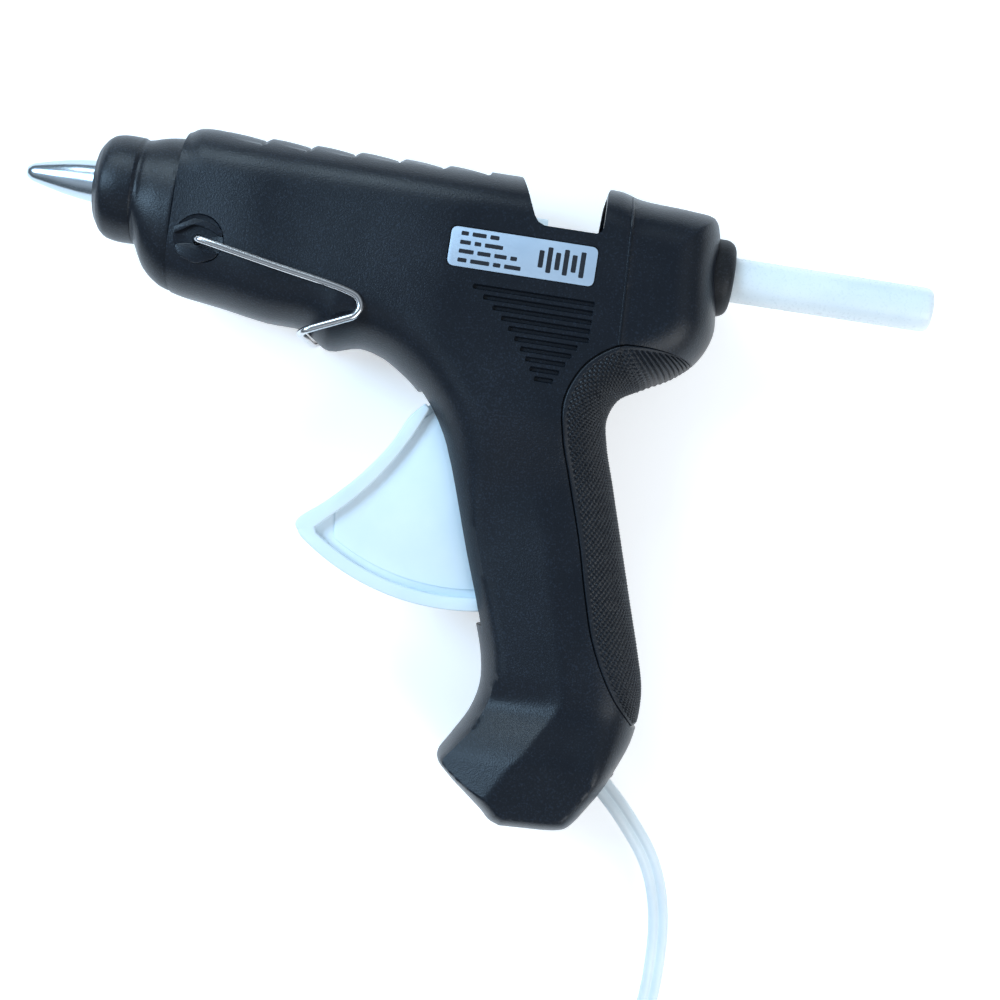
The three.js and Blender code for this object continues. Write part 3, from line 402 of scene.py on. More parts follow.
def noise(tree, scale, detail=3.0, roughness=0.55):
    node = add_node(tree, "ShaderNodeTexNoise", Scale=scale, Detail=detail, Roughness=roughness)
    tree.links.new(object_coords(tree), node.inputs["Vector"])
    return node.outputs["Fac"]


def ramp_of(tree, value, stops):
    node = add_node(tree, "ShaderNodeValToRGB")
    elements = node.color_ramp.elements
    elements[0].position, elements[0].color = stops[0][0], (*stops[0][1], 1)
    elements[1].position, elements[1].color = stops[-1][0], (*stops[-1][1], 1)
    for position, color in stops[1:-1]:
        elements.new(position).color = (*color, 1)
    tree.links.new(value, node.inputs["Fac"])
    return node.outputs["Color"]


def bump(tree, shader, height, strength, distance_mm):
    node = add_node(tree, "ShaderNodeBump", Strength=strength, Distance=distance_mm * MM)
    tree.links.new(height, node.inputs["Height"])
    tree.links.new(node.outputs["Normal"], shader.inputs["Normal"])


def span(tree, value, low, high, to_low, to_high):
    node = add_node(tree, "ShaderNodeMapRange")
    for index, number in ((1, low), (2, high), (3, to_low), (4, to_high)):
        node.inputs[index].default_value = number
    tree.links.new(value, node.inputs[0])
    return node.outputs[0]


def vary_color(tree, shader, value, stops):
    tree.links.new(ramp_of(tree, value, stops), shader.inputs["Base Color"])


def vary_roughness(tree, shader, value, low, high):
    tree.links.new(span(tree, value, 0.3, 0.7, low, high), shader.inputs["Roughness"])


def moulded_plastic(name, dark, light, roughness, grain_scale, grain_mm, gloss=0.3):
    """Spark-eroded moulded plastic: a fine grain, with lighter specks of painted glint scattered at
    random.
    """
    material, tree, shader = new_material(name, dark, roughness)
    shader.inputs["Specular IOR Level"].default_value = gloss
    grain = noise(tree, grain_scale, 2.0, 0.6)
    cloud = noise(tree, 38, 3.0)
    mixed = add_node(tree, "ShaderNodeMath", operation="MULTIPLY_ADD")
    tree.links.new(cloud, mixed.inputs[0])
    mixed.inputs[1].default_value = 0.25
    tree.links.new(grain, mixed.inputs[2])
    # The light colour is painted glint: lighter specks put into the base colour at random, standing in for
    # highlights.
    vary_color(tree, shader, mixed.outputs[0], [(0.5, dark), (0.66, dark), (0.8, light)])
    vary_roughness(tree, shader, cloud, roughness - 0.05, roughness + 0.07)
    bump(tree, shader, grain, 0.55, grain_mm)
    return material


def smooth_plastic(name, color, shadow, roughness, see_through=0.0):
    material, tree, shader = new_material(name, color, roughness)
    vary_color(tree, shader, noise(tree, 60, 4.0), [(0.35, shadow), (0.65, color)])
    fine = noise(tree, 1500, 2.0)
    vary_roughness(tree, shader, fine, roughness - 0.06, roughness + 0.08)
    bump(tree, shader, fine, 0.12, 0.02)
    if see_through:
        shader.inputs["Subsurface Weight"].default_value = see_through
        shader.inputs["Subsurface Radius"].default_value = (1.0, 1.0, 1.0)
        shader.inputs["Subsurface Scale"].default_value = 0.004
    return material


def drawn_metal(name, color, roughness, scale, grain=0.12, stretch=(1, 1, 1)):
    """Metal with fine lines left by drawing, turning or brushing, and dull patches."""
    material, tree, shader = new_material(name, color, roughness, 1.0)
    mapping = add_node(tree, "ShaderNodeMapping")
    mapping.inputs["Scale"].default_value = stretch
    tree.links.new(object_coords(tree), mapping.inputs["Vector"])
    lines = add_node(tree, "ShaderNodeTexNoise", Scale=scale, Detail=3.0)
    tree.links.new(mapping.outputs[0], lines.inputs["Vector"])
    dull = tuple(c * (1 - 2.4 * grain) for c in color)
    vary_color(tree, shader, noise(tree, 120, 3.0), [(0.35, dull), (0.6, color)])
    fine = lines.outputs["Fac"]
    vary_roughness(tree, shader, fine, roughness - 0.6 * grain, roughness + 1.2 * grain)
    bump(tree, shader, fine, grain, 0.01)
    return material


# The second colour of each is the painted glint of its specks.
SHELL = moulded_plastic("shell_plastic", (0.006, 0.0085, 0.013), (0.014, 0.020, 0.031), 0.34, 2300, 0.13)
NOSE = moulded_plastic("nose_plastic", (0.006, 0.008, 0.012), (0.02, 0.027, 0.038), 0.35, 2300, 0.10)
GRIP = moulded_plastic("grip_rubber", (0.007, 0.009, 0.013), (0.024, 0.03, 0.04), 0.42, 3000, 0.04)
BLACK = moulded_plastic("black_plastic", (0.008, 0.009, 0.011), (0.02, 0.023, 0.03), 0.5, 2400, 0.03)
WHITE = smooth_plastic("white_plastic", (0.77, 0.86, 0.91), (0.72, 0.82, 0.88), 0.36, 0.08)
GLUE = smooth_plastic("glue", (0.83, 0.88, 0.90), (0.76, 0.82, 0.85), 0.3, 0.6)
CORD = smooth_plastic("cord_vinyl", (0.84, 0.91, 0.94), (0.77, 0.85, 0.89), 0.42, 0.1)
SILICONE = smooth_plastic("silicone", (0.36, 0.09, 0.04), (0.28, 0.07, 0.03), 0.6)
CERAMIC = smooth_plastic("ceramic", (0.30, 0.28, 0.25), (0.22, 0.21, 0.19), 0.8)
FILM = smooth_plastic("film", (0.50, 0.24, 0.04), (0.42, 0.19, 0.03), 0.25)
STEEL = drawn_metal("steel", (0.64, 0.64, 0.65), 0.2, 1400, 0.02)
DARK_STEEL = drawn_metal("blackened_steel", (0.035, 0.037, 0.042), 0.42, 1400, 0.04)
NOZZLE = drawn_metal("nozzle_metal", (0.50, 0.57, 0.63), 0.2, 300, 0.02, (9, 1, 1))
ALUMINIUM = drawn_metal("aluminium", (0.62, 0.64, 0.67), 0.4, 500, 0.12, (1, 6, 6))
BRASS = drawn_metal("brass", (0.72, 0.52, 0.22), 0.3, 900)


# --------------------------------------------------------------- the body form
def ease(value, start, end):
    share = np.clip((np.asarray(value, dtype=float) - start) / (end - start), 0, 1)
    return share * share * (3 - 2 * share)


def mix(start, end, share):
    return start + (end - start) * share


def tower_seam(y):
    """Where the tower's front seam runs: it leans back a little as it goes down."""
    return 131.6 + 0.045 * (15.8 - y)


def half_width(x, y):
    """Half the body's width before its border is rounded off."""
    nose = mix(NOSE_HALF_WIDTH, BARREL_HALF_WIDTH, ease(x, SEAM_X - 3, 44))
    full = HALF_WIDTH + CROWN
    barrel = mix(nose, full, ease(x, 46, 98))
    tower = mix(barrel, full - 0.6, ease(x - tower_seam(y), 0, 0.7) * ease(y, -30, -24))
    handle = mix(tower, HANDLE_HALF_WIDTH, ease(-y, 38, 62))
    return mix(handle, full, ease(-y, 110, 127))


def offset_line(points, inset, side, per_span):
    line = smooth_line(points, per_span)
    along = np.gradient(line, axis=0)
    along /= np.linalg.norm(along, axis=1)[:, None]
    inward = np.stack([-along[:, 1], along[:, 0]], axis=1) * side
    return line + inward * inset


def distance_to(line, x, y):
    """The least distance from each point to a line of points."""
    a, b = line[:-1], line[1:]
    step = b - a
    best = np.full(x.shape, np.inf)
    for (ax, ay), (dx, dy) in zip(a, step):
        share = np.clip(((x - ax) * dx + (y - ay) * dy) / (dx * dx + dy * dy + 1e-12), 0, 1)
        best = np.minimum(best, np.hypot(x - ax - share * dx, y - ay - share * dy))
    return best


FRONT_POINTS = [pair[0] for pair in OUTLINE]
BACK_POINTS = [pair[1] for pair in OUTLINE]


def edge_line(inset):
    front = offset_line(FRONT_POINTS, inset, 1, 4)
    back = offset_line(BACK_POINTS, inset, -1, 4)
    return np.vstack([front, back[::-1]])


def front_facet(x, y):
    """The flat that slopes to the front of the handle, from a crease down its side."""
    crease = smooth_line([(114, -38), (118, -50), (123.4, -70), (128.9, -89), (133, -104),
                          (133.5, -109.4), (128, -119), (118.7, -136)], 6)
    at_crease = np.interp(-y, -crease[:, 1], crease[:, 0])
    ahead = np.clip(at_crease - x, 0, None)
    slope = 0.2 * ease(-y, 46, 75) + 0.12 * ease(-y, 104, 114)
    return half_width(x, y) + 0.15 - slope * ahead


def border_width(y, inset):
    """How far in from the outline the rounding reaches."""
    return mix(EDGE_ROUND, FOOT_ROUND, ease(-y, 110, 130)) - inset


def form_height(x, y, inset=0.0, edge=None):
    """The surface's height over the parting plane: rounded border, flat side, facet."""
    edge = edge_line(inset) if edge is None else edge
    depth = np.clip(distance_to(edge, x, y) / border_width(y, inset), 0, 1)
    rise = np.power(1 - np.power(1 - depth, ROUND_POWER), 1 / ROUND_POWER)
    height = np.minimum((half_width(x, y) - inset) * rise, HALF_WIDTH - inset)
    facet = front_facet(x, y) - inset
    share = np.clip(0.5 + 0.5 * (facet - height) / CREASE_SOFTNESS, 0, 1)
    return mix(facet, height, share) - CREASE_SOFTNESS * share * (1 - share)


def half_form(name, inset=0.0, per_span=6, border_steps=14, middle_steps=22, overrun=0.0):
    """Half of the body's form above the parting plane, as a closed mesh."""
    front = offset_line(FRONT_POINTS, inset, 1, per_span)
    back = offset_line(BACK_POINTS, inset, -1, per_span)
    length = np.linalg.norm(back - front, axis=1)
    border = np.minimum(border_width(front[:, 1], inset), 0.42 * length)
    near = 1 - np.cos(np.linspace(0, math.pi / 2, border_steps))
    rows_x, rows_y = [], []
    for a, b, size, run in zip(front, back, border, length):
        start = near * size / run
        middle = np.linspace(start[-1], 1 - start[-1], middle_steps + 2)[1:-1]
        share = np.concatenate([start, middle, 1 - start[::-1]])
        rows_x.append(mix(a[0], b[0], share))
        rows_y.append(mix(a[1], b[1], share))
    x, y = np.array(rows_x), np.array(rows_y)
    z = form_height(x, y, inset)
    z[:, 0] = z[:, -1] = 0
    z[-1, :] = 0
    z = np.maximum(z, 0)
    x[0] -= overrun
    return loose(name, *between_grids(np.stack([x, y, z], axis=2), np.stack([x, y, 0 * z], axis=2)))


def mirror(verts, faces):
    return [(x, y, -z) for x, y, z in verts], [tuple(f)[::-1] for f in faces]


def mirror_object(obj):
    """Turns an object over to the other side of the parting plane, in its mesh."""
    for vertex in obj.data.vertices:
        vertex.co.z = 2 * HALF_WIDTH * MM - vertex.co.z
    obj.data.flip_normals()


# --------------------------------------------------------------------- camera
def to_camera_frame():
    camera = link_object("camera", bpy.data.cameras.new("camera"))
    camera.location = to_row(*VIEW_CENTRE, VIEW_HEIGHT)
    camera.rotation_euler = (0, 0, VIEW_ROLL)
    camera.data.sensor_width = 36
    camera.data.lens = 36 * VIEW_HEIGHT / VIEW_WIDTH
    camera.data.clip_start = 0.01
    bpy.context.scene.camera = camera


# ----------------------------------------------------------------------- cord
def coil_route():
    """The wound turns, two columns wide and four rows high, as one line."""
    rows = [-17.6 + CORD_THICKNESS * 1.01 * r for r in range(4)]
    outer, inner = COIL_RADII[1], COIL_RADII[0]
    lay = [(outer, rows[0]), (inner, rows[0]), (inner, rows[1]), (outer, rows[1]),
           (outer, rows[2]), (inner, rows[2]), (inner, rows[3]), (outer, rows[3])]
    points = []
    steps = 48
    start = math.radians(COIL_START)
    for i in range(int(COIL_TURNS * steps)):
        turn, share = divmod(i / steps, 1)
        radius0, z0 = lay[int(turn)]
        radius1, z1 = lay[int(turn) + 1]
        shift = float(ease(share, 0.86, 1.0))
        angle = start + 2 * math.pi * i / steps
        radius, z = mix(radius0, radius1, shift), mix(z0, z1, shift)
        points.append((COIL_CENTRE[0] + radius * math.cos(angle),
                       COIL_CENTRE[1] + radius * math.sin(angle), z))
    return points


def flat_section(width, thickness, steps=22):
    """A flat twin lead: two round cores side by side, joined by a thin web."""
    radius = thickness / 2
    across = -width / 2 * np.cos(np.linspace(0, math.pi, steps * 2))
    reach = np.abs(np.abs(across) - (width / 2 - radius))
    half = np.sqrt(np.maximum(radius ** 2 - reach ** 2, 0))
    half = np.where(np.abs(across) < radius, np.maximum(half, 0.5 * radius), half)
    above = [(float(h), float(a)) for h, a in zip(half, across)]
    return above + [(-h, a) for h, a in above[::-1][1:-1]]


def even_line(points, spacing):
    line = smooth_line(points, 24)
    run = np.concatenate([[0], np.cumsum(np.linalg.norm(np.diff(line, axis=0), axis=1))])
    at = np.linspace(0, run[-1], max(int(run[-1] / spacing), 2))
    return np.stack([np.interp(at, run, line[:, k]) for k in range(3)], axis=1)


def make_cord():
    coil = coil_route()
    entry = [(169.3, -226.5, -17.5)]
    leaving = [(171.2, -217.5, -10.6), (168.2, -225, -12.2)]
    joined = list(CORD_ROUTE[1:]) + entry + coil[2::4] + leaving + list(CORD_TAIL)
    visible = even_line(joined, 1.1)
    inside = even_line([CORD_ROUTE[0], CORD_EXIT], 1.1)[:-1]
    section = flat_section(CORD_WIDTH, CORD_THICKNESS)
    cord = piece("lead", *sweep(visible, section), slot="cord", material=CORD, smooth=60,
                 node=["cord_lead", "cord_coil", "cord_tail"])
    piece("lead_inside", *sweep(inside, section), slot="cord", material=CORD, smooth=60)
    length = float(np.linalg.norm(np.diff(visible, axis=0), axis=1).sum()) * MM
    print("lead length", round(length, 4))
    return cord, visible, length


def plug_ring(x, half_y, half_z):
    """One rounded-square section of the plug's body."""
    x0, y0, z0 = PLUG
    ring = []
    for i in range(48):
        c, s = math.cos(2 * math.pi * i / 48), math.sin(2 * math.pi * i / 48)
        ring.append((x0 + x, y0 + half_y * math.copysign(abs(c) ** 0.5, c),
                     z0 + half_z * math.copysign(abs(s) ** 0.5, s)))
    return ring


def make_plug_body():
    x0, y0, z0 = PLUG
    stations = [(-12, 3.3, 2.1), (-11.6, 3.6, 2.4), (-9, 4, 2.8), (-6.5, 5.6, 4.2), (-4, 7.5, 5.3),
                (-1, 8.7, 5.8), (2, 9, 6), (9.6, 9, 6), (10.7, 8.6, 5.6), (11, 7.9, 4.9)]
    rings = [plug_ring(*station) for station in stations]
    body = piece("plug", *ring_loft(rings), slot="cord", material=CORD, smooth=35)
    cuts = []
    for i in range(4):
        left = x0 - 10.6 + 1.5 * i
        for low, high in ((-7, -1.9), (1.9, 7)):
            cuts.append(loose("groove", *box(left, left + 0.5, y0 - 4, y0 + 4, z0 + low, z0 + high)))
    for side in (-1, 1):
        y = y0 + side * BLADE_OFFSET
        cuts.append(loose("slot", *box(x0 + 4, x0 + 12, y - 0.42, y + 0.42, z0 - 3.4, z0 + 3.4)))
    combine(body, cuts)
    shade(body.data, 35)
    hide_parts("plug_body")
    return body


def make_blade(name, side):
    x0, y0, z0 = PLUG
    y = y0 + side * BLADE_OFFSET
    corners = [(x0 + 4.4, z0 - 3.15), (x0 + 29, z0 - 2.4), (x0 + 29, z0 + 2.4), (x0 + 4.4, z0 + 3.15)]
    outline = rounded(corners, [0.1, 1.2, 1.2, 0.1])
    blade = piece("blade_" + name, *plate_y(outline, y - 0.3, y + 0.3), slot="brass", material=BRASS,
                  node="plug_blade_" + name)
    combine(blade, [loose("hole", *plate_y(circle(1.4, x0 + 25, z0, 24), y - 1, y + 1))])
    shade(blade.data, 35)
    return blade


def make_tie():
    """A flat tie wrapped once round the bundle of turns."""
    x = COIL_CENTRE[0] + (COIL_RADII[0] + COIL_RADII[1]) / 2
    y, z = COIL_CENTRE[1], -13.7
    outer = rounded(rectangle(x - 5.75, x + 5.75, z - 5.1, z + 5.75), 1.6, 8)
    inner = rounded(rectangle(x - 5.4, x + 5.4, z - 4.9, z + 5.4), 1.4, 8)
    count = len(outer)
    verts = [(px, py, pz) for line, py in ((outer, y - 2), (outer, y + 2), (inner, y + 2), (inner, y - 2))
             for px, pz in line]
    faces = []
    for r in range(4):
        s = (r + 1) % 4
        for i in range(count):
            j = (i + 1) % count
            faces.append((r * count + i, r * count + j, s * count + j, s * count + i))
    return piece("tie", verts, faces, slot="black_plastic", material=BLACK, node="coil_tie")


to_camera_frame()
cord_piece, cord_path, cord_length = make_cord()
plug_pieces = [make_plug_body(), make_blade("upper", 1), make_blade("lower", -1)]
tie = make_tie()


# --------------------------------------------------------------------- shells
SCREWS = [(40, -21.8, 9.5), (70, 12.3, 9.5), (141, 10.3, 11), (144, -13, 12), (115, -38, 12),
          (122, -108, 11.5), (121, -131, 12)]


def notch_tool():
    outline = [(101.8, 19), (103.3, 17.3), (104.2, 16), (105.2, 13.7), (106.4, 10.8), (107.5, 7.9),
               (108.5, 5.6), (109.6, 4.1), (111.2, NOTCH_FLOOR_Y), (123.8, NOTCH_FLOOR_Y), (124.9, 3.9),
               (125.3, 5), (125.4, 14.6), (125.9, 16), (127.2, 17.1), (128, 19)]
    return loose("notch", *plate(outline, -1, 25))


def trigger_slot_tool():
    outline = rounded([(84.6, -40.6), (91, -36.2), (99, -44), (101.6, -50), (106, -60), (110, -72),
                       (114, -84), (118, -93.2), (105, -95.4), (98, -92), (88, -70), (80, -50)], 1.5)
    return loose("trigger_slot", *plate(outline, -1, TRIGGER_HALF_WIDTH + 0.6))


def trough(left, right, y):
    """A cutter for one groove: round ends, and sides that lean out to its lip."""
    def ring(half, z):
        arc = []
        for centre_x, first in ((right, -90), (left, 90)):
            for k in range(9):
                angle = math.radians(first + 22.5 * k)
                arc.append((centre_x + (half * math.cos(angle)) * 0.6, y + half * math.sin(angle), z))
        return arc
    half = VENT_WIDTH / 2
    floor = HALF_WIDTH - VENT_DEPTH
    rings = [ring(half * 0.7, floor), ring(half * 0.86, floor + 0.15), ring(half, HALF_WIDTH - 0.25),
             ring(half + 0.18, HALF_WIDTH + 0.02), ring(half + 0.5, HALF_WIDTH + 0.6)]
    return loose("groove", *ring_loft(rings))


def vent_tools():
    lefts = [96.8, 99.6, 102.2, 104.6, 106.7, 108.5, 110.2, 111.8, 113.2, 114.6]
    tools = []
    for row, left in enumerate(lefts):
        right = 125.6 if row < 5 else 123.2 - 1.15 * (row - 5)
        tools.append(trough(left, right, VENT_TOP_Y - VENT_PITCH * row))
    return tools


def dip_depth(x):
    """Each dip falls slowly towards a narrow tick, and comes up quickly behind it."""
    places = (x - FIRST_DIP) / DIP_PITCH
    behind = np.mod(places, 1)
    falling = (np.maximum(behind - DIP_STEP_SHARE, 0) / (1 - DIP_STEP_SHARE)) ** 1.8
    share = np.where(behind < DIP_STEP_SHARE, 1 - ease(behind, 0, DIP_STEP_SHARE), falling)
    from_tick = np.abs(places - np.round(places)) * DIP_PITCH
    depth = DIP_DEPTH * share + TICK_DEPTH * (1 - np.minimum(from_tick / 0.5, 1))
    last = FIRST_DIP + (DIP_COUNT - 1) * DIP_PITCH + 0.6
    return depth * ease(x, 29, 34) * (x < last)


def dip_tool():
    """Cuts the saw-tooth dips along the top, where a thumb would rest."""
    clear = 0.25
    top = smooth_line(BACK_POINTS, 12)
    top = top[(top[:, 0] > 20) & (top[:, 0] < 108) & (top[:, 1] > 10)]
    x = np.arange(27, 99, 0.25)[:, None]
    z = np.linspace(-1, 13.5, 30)[None, :]
    share = np.abs(z) / half_width(x, 16 + 0 * x)
    fall = EDGE_ROUND * (1 - (1 - share ** ROUND_POWER) ** (1 / ROUND_POWER))
    surface = np.interp(x, top[:, 0], top[:, 1]) - fall
    floor = surface - (dip_depth(x) + clear) * (1 - ease(z, 9.5, 13)) + clear
    below = np.stack([x + 0 * z, floor, z + 0 * x], axis=2)
    above = np.stack([x + 0 * z, 22 + 0 * floor, z + 0 * x], axis=2)
    return loose("dips", *between_grids(below, above))


def screw_tools(deep_head):
    tools = []
    for x, y, head_z in SCREWS:
        if deep_head:
            tools.append(loose("hole", *rod_z(SCREW_RADIUS + 0.3, x, y, -1, head_z + 1)))
            tools.append(loose("head_hole", *rod_z(SCREW_HEAD_HOLE, x, y, head_z, 21)))
        else:
            tools.append(loose("hole", *rod_z(SCREW_RADIUS + 0.3, x, y, -1, 9)))
    return tools


def rod_x(radius, x0, x1, segments=64):
    return turned([(x0, 0), (x0, radius), (x1, radius), (x1, 0)], segments)


def inner_works(is_right):
    """The ribs that carry the parts along the barrel, and the screw bosses."""
    ribs = loose("ribs", *box(27, 29, -7.1, 17, 0, 18))
    others = [(54, 56, -13, 17, 0, 18), (77.4, 79, -13, 17, 0, 18),
              (128, 130, -13, 16, 0, 20), (146, 148, -13, 16, 0, 20)]
    combine(ribs, [loose("rib", *box(*spans)) for spans in others], "UNION")
    combine(ribs, [loose("way", *rod_x(9.4, 26, 57)), loose("way", *rod_x(8.6, 76, 80)),
                   loose("way", *rod_x(6.3, 127, 149))])
    bosses = [loose("boss", *rod_z(2.9, x, y, 0, 20)) for x, y, _ in SCREWS]
    if is_right:
        bosses += [loose("boss", *rod_z(4.3, x, y, head_z - 2, 20)) for x, y, head_z in SCREWS]
    bosses.append(loose("pivot_boss", *rod_z(4.5, PIVOT_X, PIVOT_Y, 12, 20)))
    combine(ribs, bosses, "UNION")
    combine(ribs, [half_form("limit", 0.5, 3, 8, 10)], "INTERSECT")
    return ribs


def stand_dish(shell):
    x, y = STAND_PIVOT
    lip = [(14.9, 0), (14.9, 5.6), (15.05, 6.0), (15.5, 6.3), (16.1, 6.45), (16.45, 6.8), (17.2, 7.6),
           (21, 9), (21, 0)]
    verts, faces = turned(lip, 96)
    combine(shell, [loose("dish", [(x + vy, y + vz, vx) for vx, vy, vz in verts], faces)])
    rib = rounded([(x - 5.9, y + 0.6), (x - 1.4, y + 3.4), (x + 1.2, y + 3.2), (x + 5.9, y + 1.4),
                   (x + 5.9, y + 2.9), (x + 1.2, y + 4.7), (x - 1.4, y + 4.9), (x - 5.9, y + 2.3)], 0.5)
    bar = loose("chevron", *plate(rib, 12, 16.1))
    bevel(bar, 0.3)
    combine(shell, [bar], "UNION")
    lens = [(x - 5.6, y - 1.9), (x - 2, y - 1.0), (x + 5.7, y - 2.6), (x + 4.6, y - 4.2), (x, y - 5.9),
            (x - 4.2, y - 4.4)]
    pad = loose("lens", *plate(rounded(lens, 1.2), 12, 15.7))
    bevel(pad, 0.35)
    combine(shell, [pad], "UNION")
    combine(shell, [loose("wire_hole", *rod_z(STAND_WIRE_RADIUS + 0.4, x, y, 5, 21))])


def grip_prism():
    """The area of the grip pad, straight through the left half."""
    outline = [GRIP_OUTLINE[0], *smooth_line(GRIP_OUTLINE[1:-1], 6), GRIP_OUTLINE[-1]]
    return loose("grip_prism", *plate(outline, -1, 22))


def cord_exit_tool():
    """The flared way out for the cord: turned about x, then laid along the cord."""
    verts, faces = turned([(3.2, 0), (3.2, 4.4), (6.3, 4.4), (9, 5.2), (16, 6), (16, 0)], 48)
    grommet_x, grommet_y = 140.2, -123.2
    c, s = math.cos(-math.pi / 4), math.sin(-math.pi / 4)
    laid = [(grommet_x + x * c - y * s, grommet_y + x * s + y * c, z) for x, y, z in verts]
    return loose("exit", laid, faces)


def tower_bead():
    """The thin raised line round the front of the tower."""
    y = np.arange(-24.0, 14.6, 0.5)
    x = tower_seam(y) - 0.1
    z = form_height(x, y) - 0.14
    points = np.stack([x, y, z], axis=1)[::-1]
    verts, faces = sweep(points, round_section(0.34, 12), up=(1, 0, 0))
    return loose("bead", [(px, py, min(pz, HALF_WIDTH + 0.12)) for px, py, pz in verts], faces)


def make_shell(is_right):
    side = "right" if is_right else "left"
    shell = half_form(side + "_shell", per_span=8, middle_steps=44)
    combine(shell, [half_form("hollow", WALL, 4, 10, 14, overrun=1)])
    combine(shell, [inner_works(is_right)], "UNION")
    combine(shell, screw_tools(is_right))
    combine(shell, [loose("pin_hole", *rod_z(2.1, PIVOT_X, PIVOT_Y, 8, 15))])
    combine(shell, [notch_tool(), trigger_slot_tool(), loose("window", *box(108, 127, -1, 4, -1, 6.3))])
    stand_dish(shell)
    combine(shell, vent_tools() + [dip_tool()])
    combine(shell, [tower_bead()], "UNION")
    recess = grip_prism()
    combine(recess, [half_form("bed", PAD_DEPTH + PAD_GAP, 4, 10, 14)])
    combine(shell, [recess])
    combine(shell, [cord_exit_tool(), loose("bush_hole", *rod_x(9.9, 148.7, 162)),
                    loose("socket", *turned([(20, 0), (20, 13.4), (24.6, 13.4), (24.6, 0)], 64)),
                    loose("parting", *box(0, 220, -160, 30, -2, PARTING_GAP))])
    if not is_right:
        x0, x1, y0, y1 = LABEL_BOX
        gap = LABEL_MARGIN
        label = rounded(rectangle(x0 - gap, x1 + gap, y0 - gap, y1 + gap), 1.8, 6)
        combine(shell, [loose("label_recess", *plate(label, HALF_WIDTH - 0.35, 21))])
    if is_right:
        mirror_object(shell)
    finish_piece(shell, node=side + "_shell", material=SHELL, smooth=28)


# ------------------------------------------------------------------- grip pads
# The pad's front edge, a point of GRIP_OUTLINE each, and how far it reaches back.
PAD_BACK = [(153.2, -22.9), (150.4, -25.6), (145.8, -28.5), (140.8, -31.3), (135.8, -34.8),
            (134.2, -39.5), (135, -46), (137.8, -55), (142, -68.5), (146.5, -83), (150.1, -94.5),
            (152.9, -106), (152.7, -113)]


def grid_normals(grid):
    normal = np.cross(np.gradient(grid, axis=1), np.gradient(grid, axis=0))
    size = np.linalg.norm(normal, axis=2, keepdims=True)
    normal /= np.maximum(size, 1e-9)
    return normal * np.where(normal[..., 2:3].mean() < 0, -1, 1)


def back_line_near(guess, line):
    """The points of a line nearest to guessed ones, with their places along it evened out."""
    nearest = np.array([np.argmin(np.hypot(*(line - spot).T)) for spot in guess], dtype=float)
    nearest = np.convolve(np.pad(nearest, 12, mode="edge"), np.ones(25) / 25, mode="valid")
    at = np.arange(len(line))
    return np.stack([np.interp(nearest, at, line[:, k]) for k in range(2)], axis=1)


def pad_grid():
    """The body's surface under a pad: rows from its front edge round to the parting plane."""
    edge = smooth_line(BACK_POINTS, 24)
    front = smooth_line(GRIP_OUTLINE[1:-1], 44)
    back = back_line_near(smooth_line(PAD_BACK, 44), edge)
    inward = front - back
    inward /= np.linalg.norm(inward, axis=1)[:, None]
    start = front - inward * 0.35
    share = np.sin(np.linspace(0, 1, PAD_COLUMNS) * math.pi / 2)[None, :]
    x = start[:, None, 0] + (back[:, None, 0] - start[:, None, 0]) * share
    y = start[:, None, 1] + (back[:, None, 1] - start[:, None, 1]) * share
    z = form_height(x, y, edge=edge)
    z[:, -1] = PAD_EDGE_Z
    z[:, -40:] = np.minimum.accumulate(z[:, -40:], axis=1)
    return np.stack([x, y, np.maximum(z, PAD_EDGE_Z)], axis=2)


def knurl_height(grid):
    """Ribs near the top that turn into diamonds, inside a smooth border."""
    run_u = np.concatenate([[0], np.cumsum(np.linalg.norm(np.diff(grid[:, 40], axis=0), axis=1))])
    steps_v = np.linalg.norm(np.diff(grid, axis=1), axis=2)
    v = np.concatenate([np.zeros((len(grid), 1)), np.cumsum(steps_v, axis=1)], axis=1)
    u = run_u[:, None] + 0 * v
    one_way = np.sin(math.pi * (u + v) / PAD_PITCH)
    other_way = np.sin(math.pi * (u - v) / PAD_PITCH)
    diamonds = np.abs(one_way * other_way) ** 0.55
    ribs = np.abs(np.sin(math.pi * u / PAD_PITCH)) ** 0.8
    knurl = mix(ribs, diamonds, ease(u, 11, 20))
    from_rim = np.minimum(np.minimum(u, u[-1:] - u), v)
    inside = ease(from_rim, 1.1, 1.6)
    edge_round = 0.35 * (1 - ease(from_rim, 0, 0.45)) ** 2
    height = -0.5 + 0.55 * knurl * inside + 0.45 * (1 - inside) - edge_round
    across = np.linspace(0, 1, grid.shape[1])
    return mix(height, -0.3, ease(across, 0.93, 0.985)[None, :])


def make_grip_pad(is_right):
    """A rubber pad with a raised diamond knurl inside a smooth border."""
    grid = pad_grid()
    normal = grid_normals(grid)
    normal[:, -6:] = normal[:, -7:-6]
    top = grid + normal * knurl_height(grid)[..., None]
    under = grid - normal * PAD_DEPTH
    for surface in (top, under):
        surface[..., 2] = np.maximum(surface[..., 2], 2 * PARTING_GAP)
    verts, faces = between_grids(top, under)
    if is_right:
        verts, faces = mirror(verts, faces)
    side = "right" if is_right else "left"
    piece(side + "_grip", verts, faces, slot="grip_rubber", node=side + "_grip_pad", material=GRIP,
          smooth=50)


for right in (False, True):
    make_shell(right)
    make_grip_pad(right)


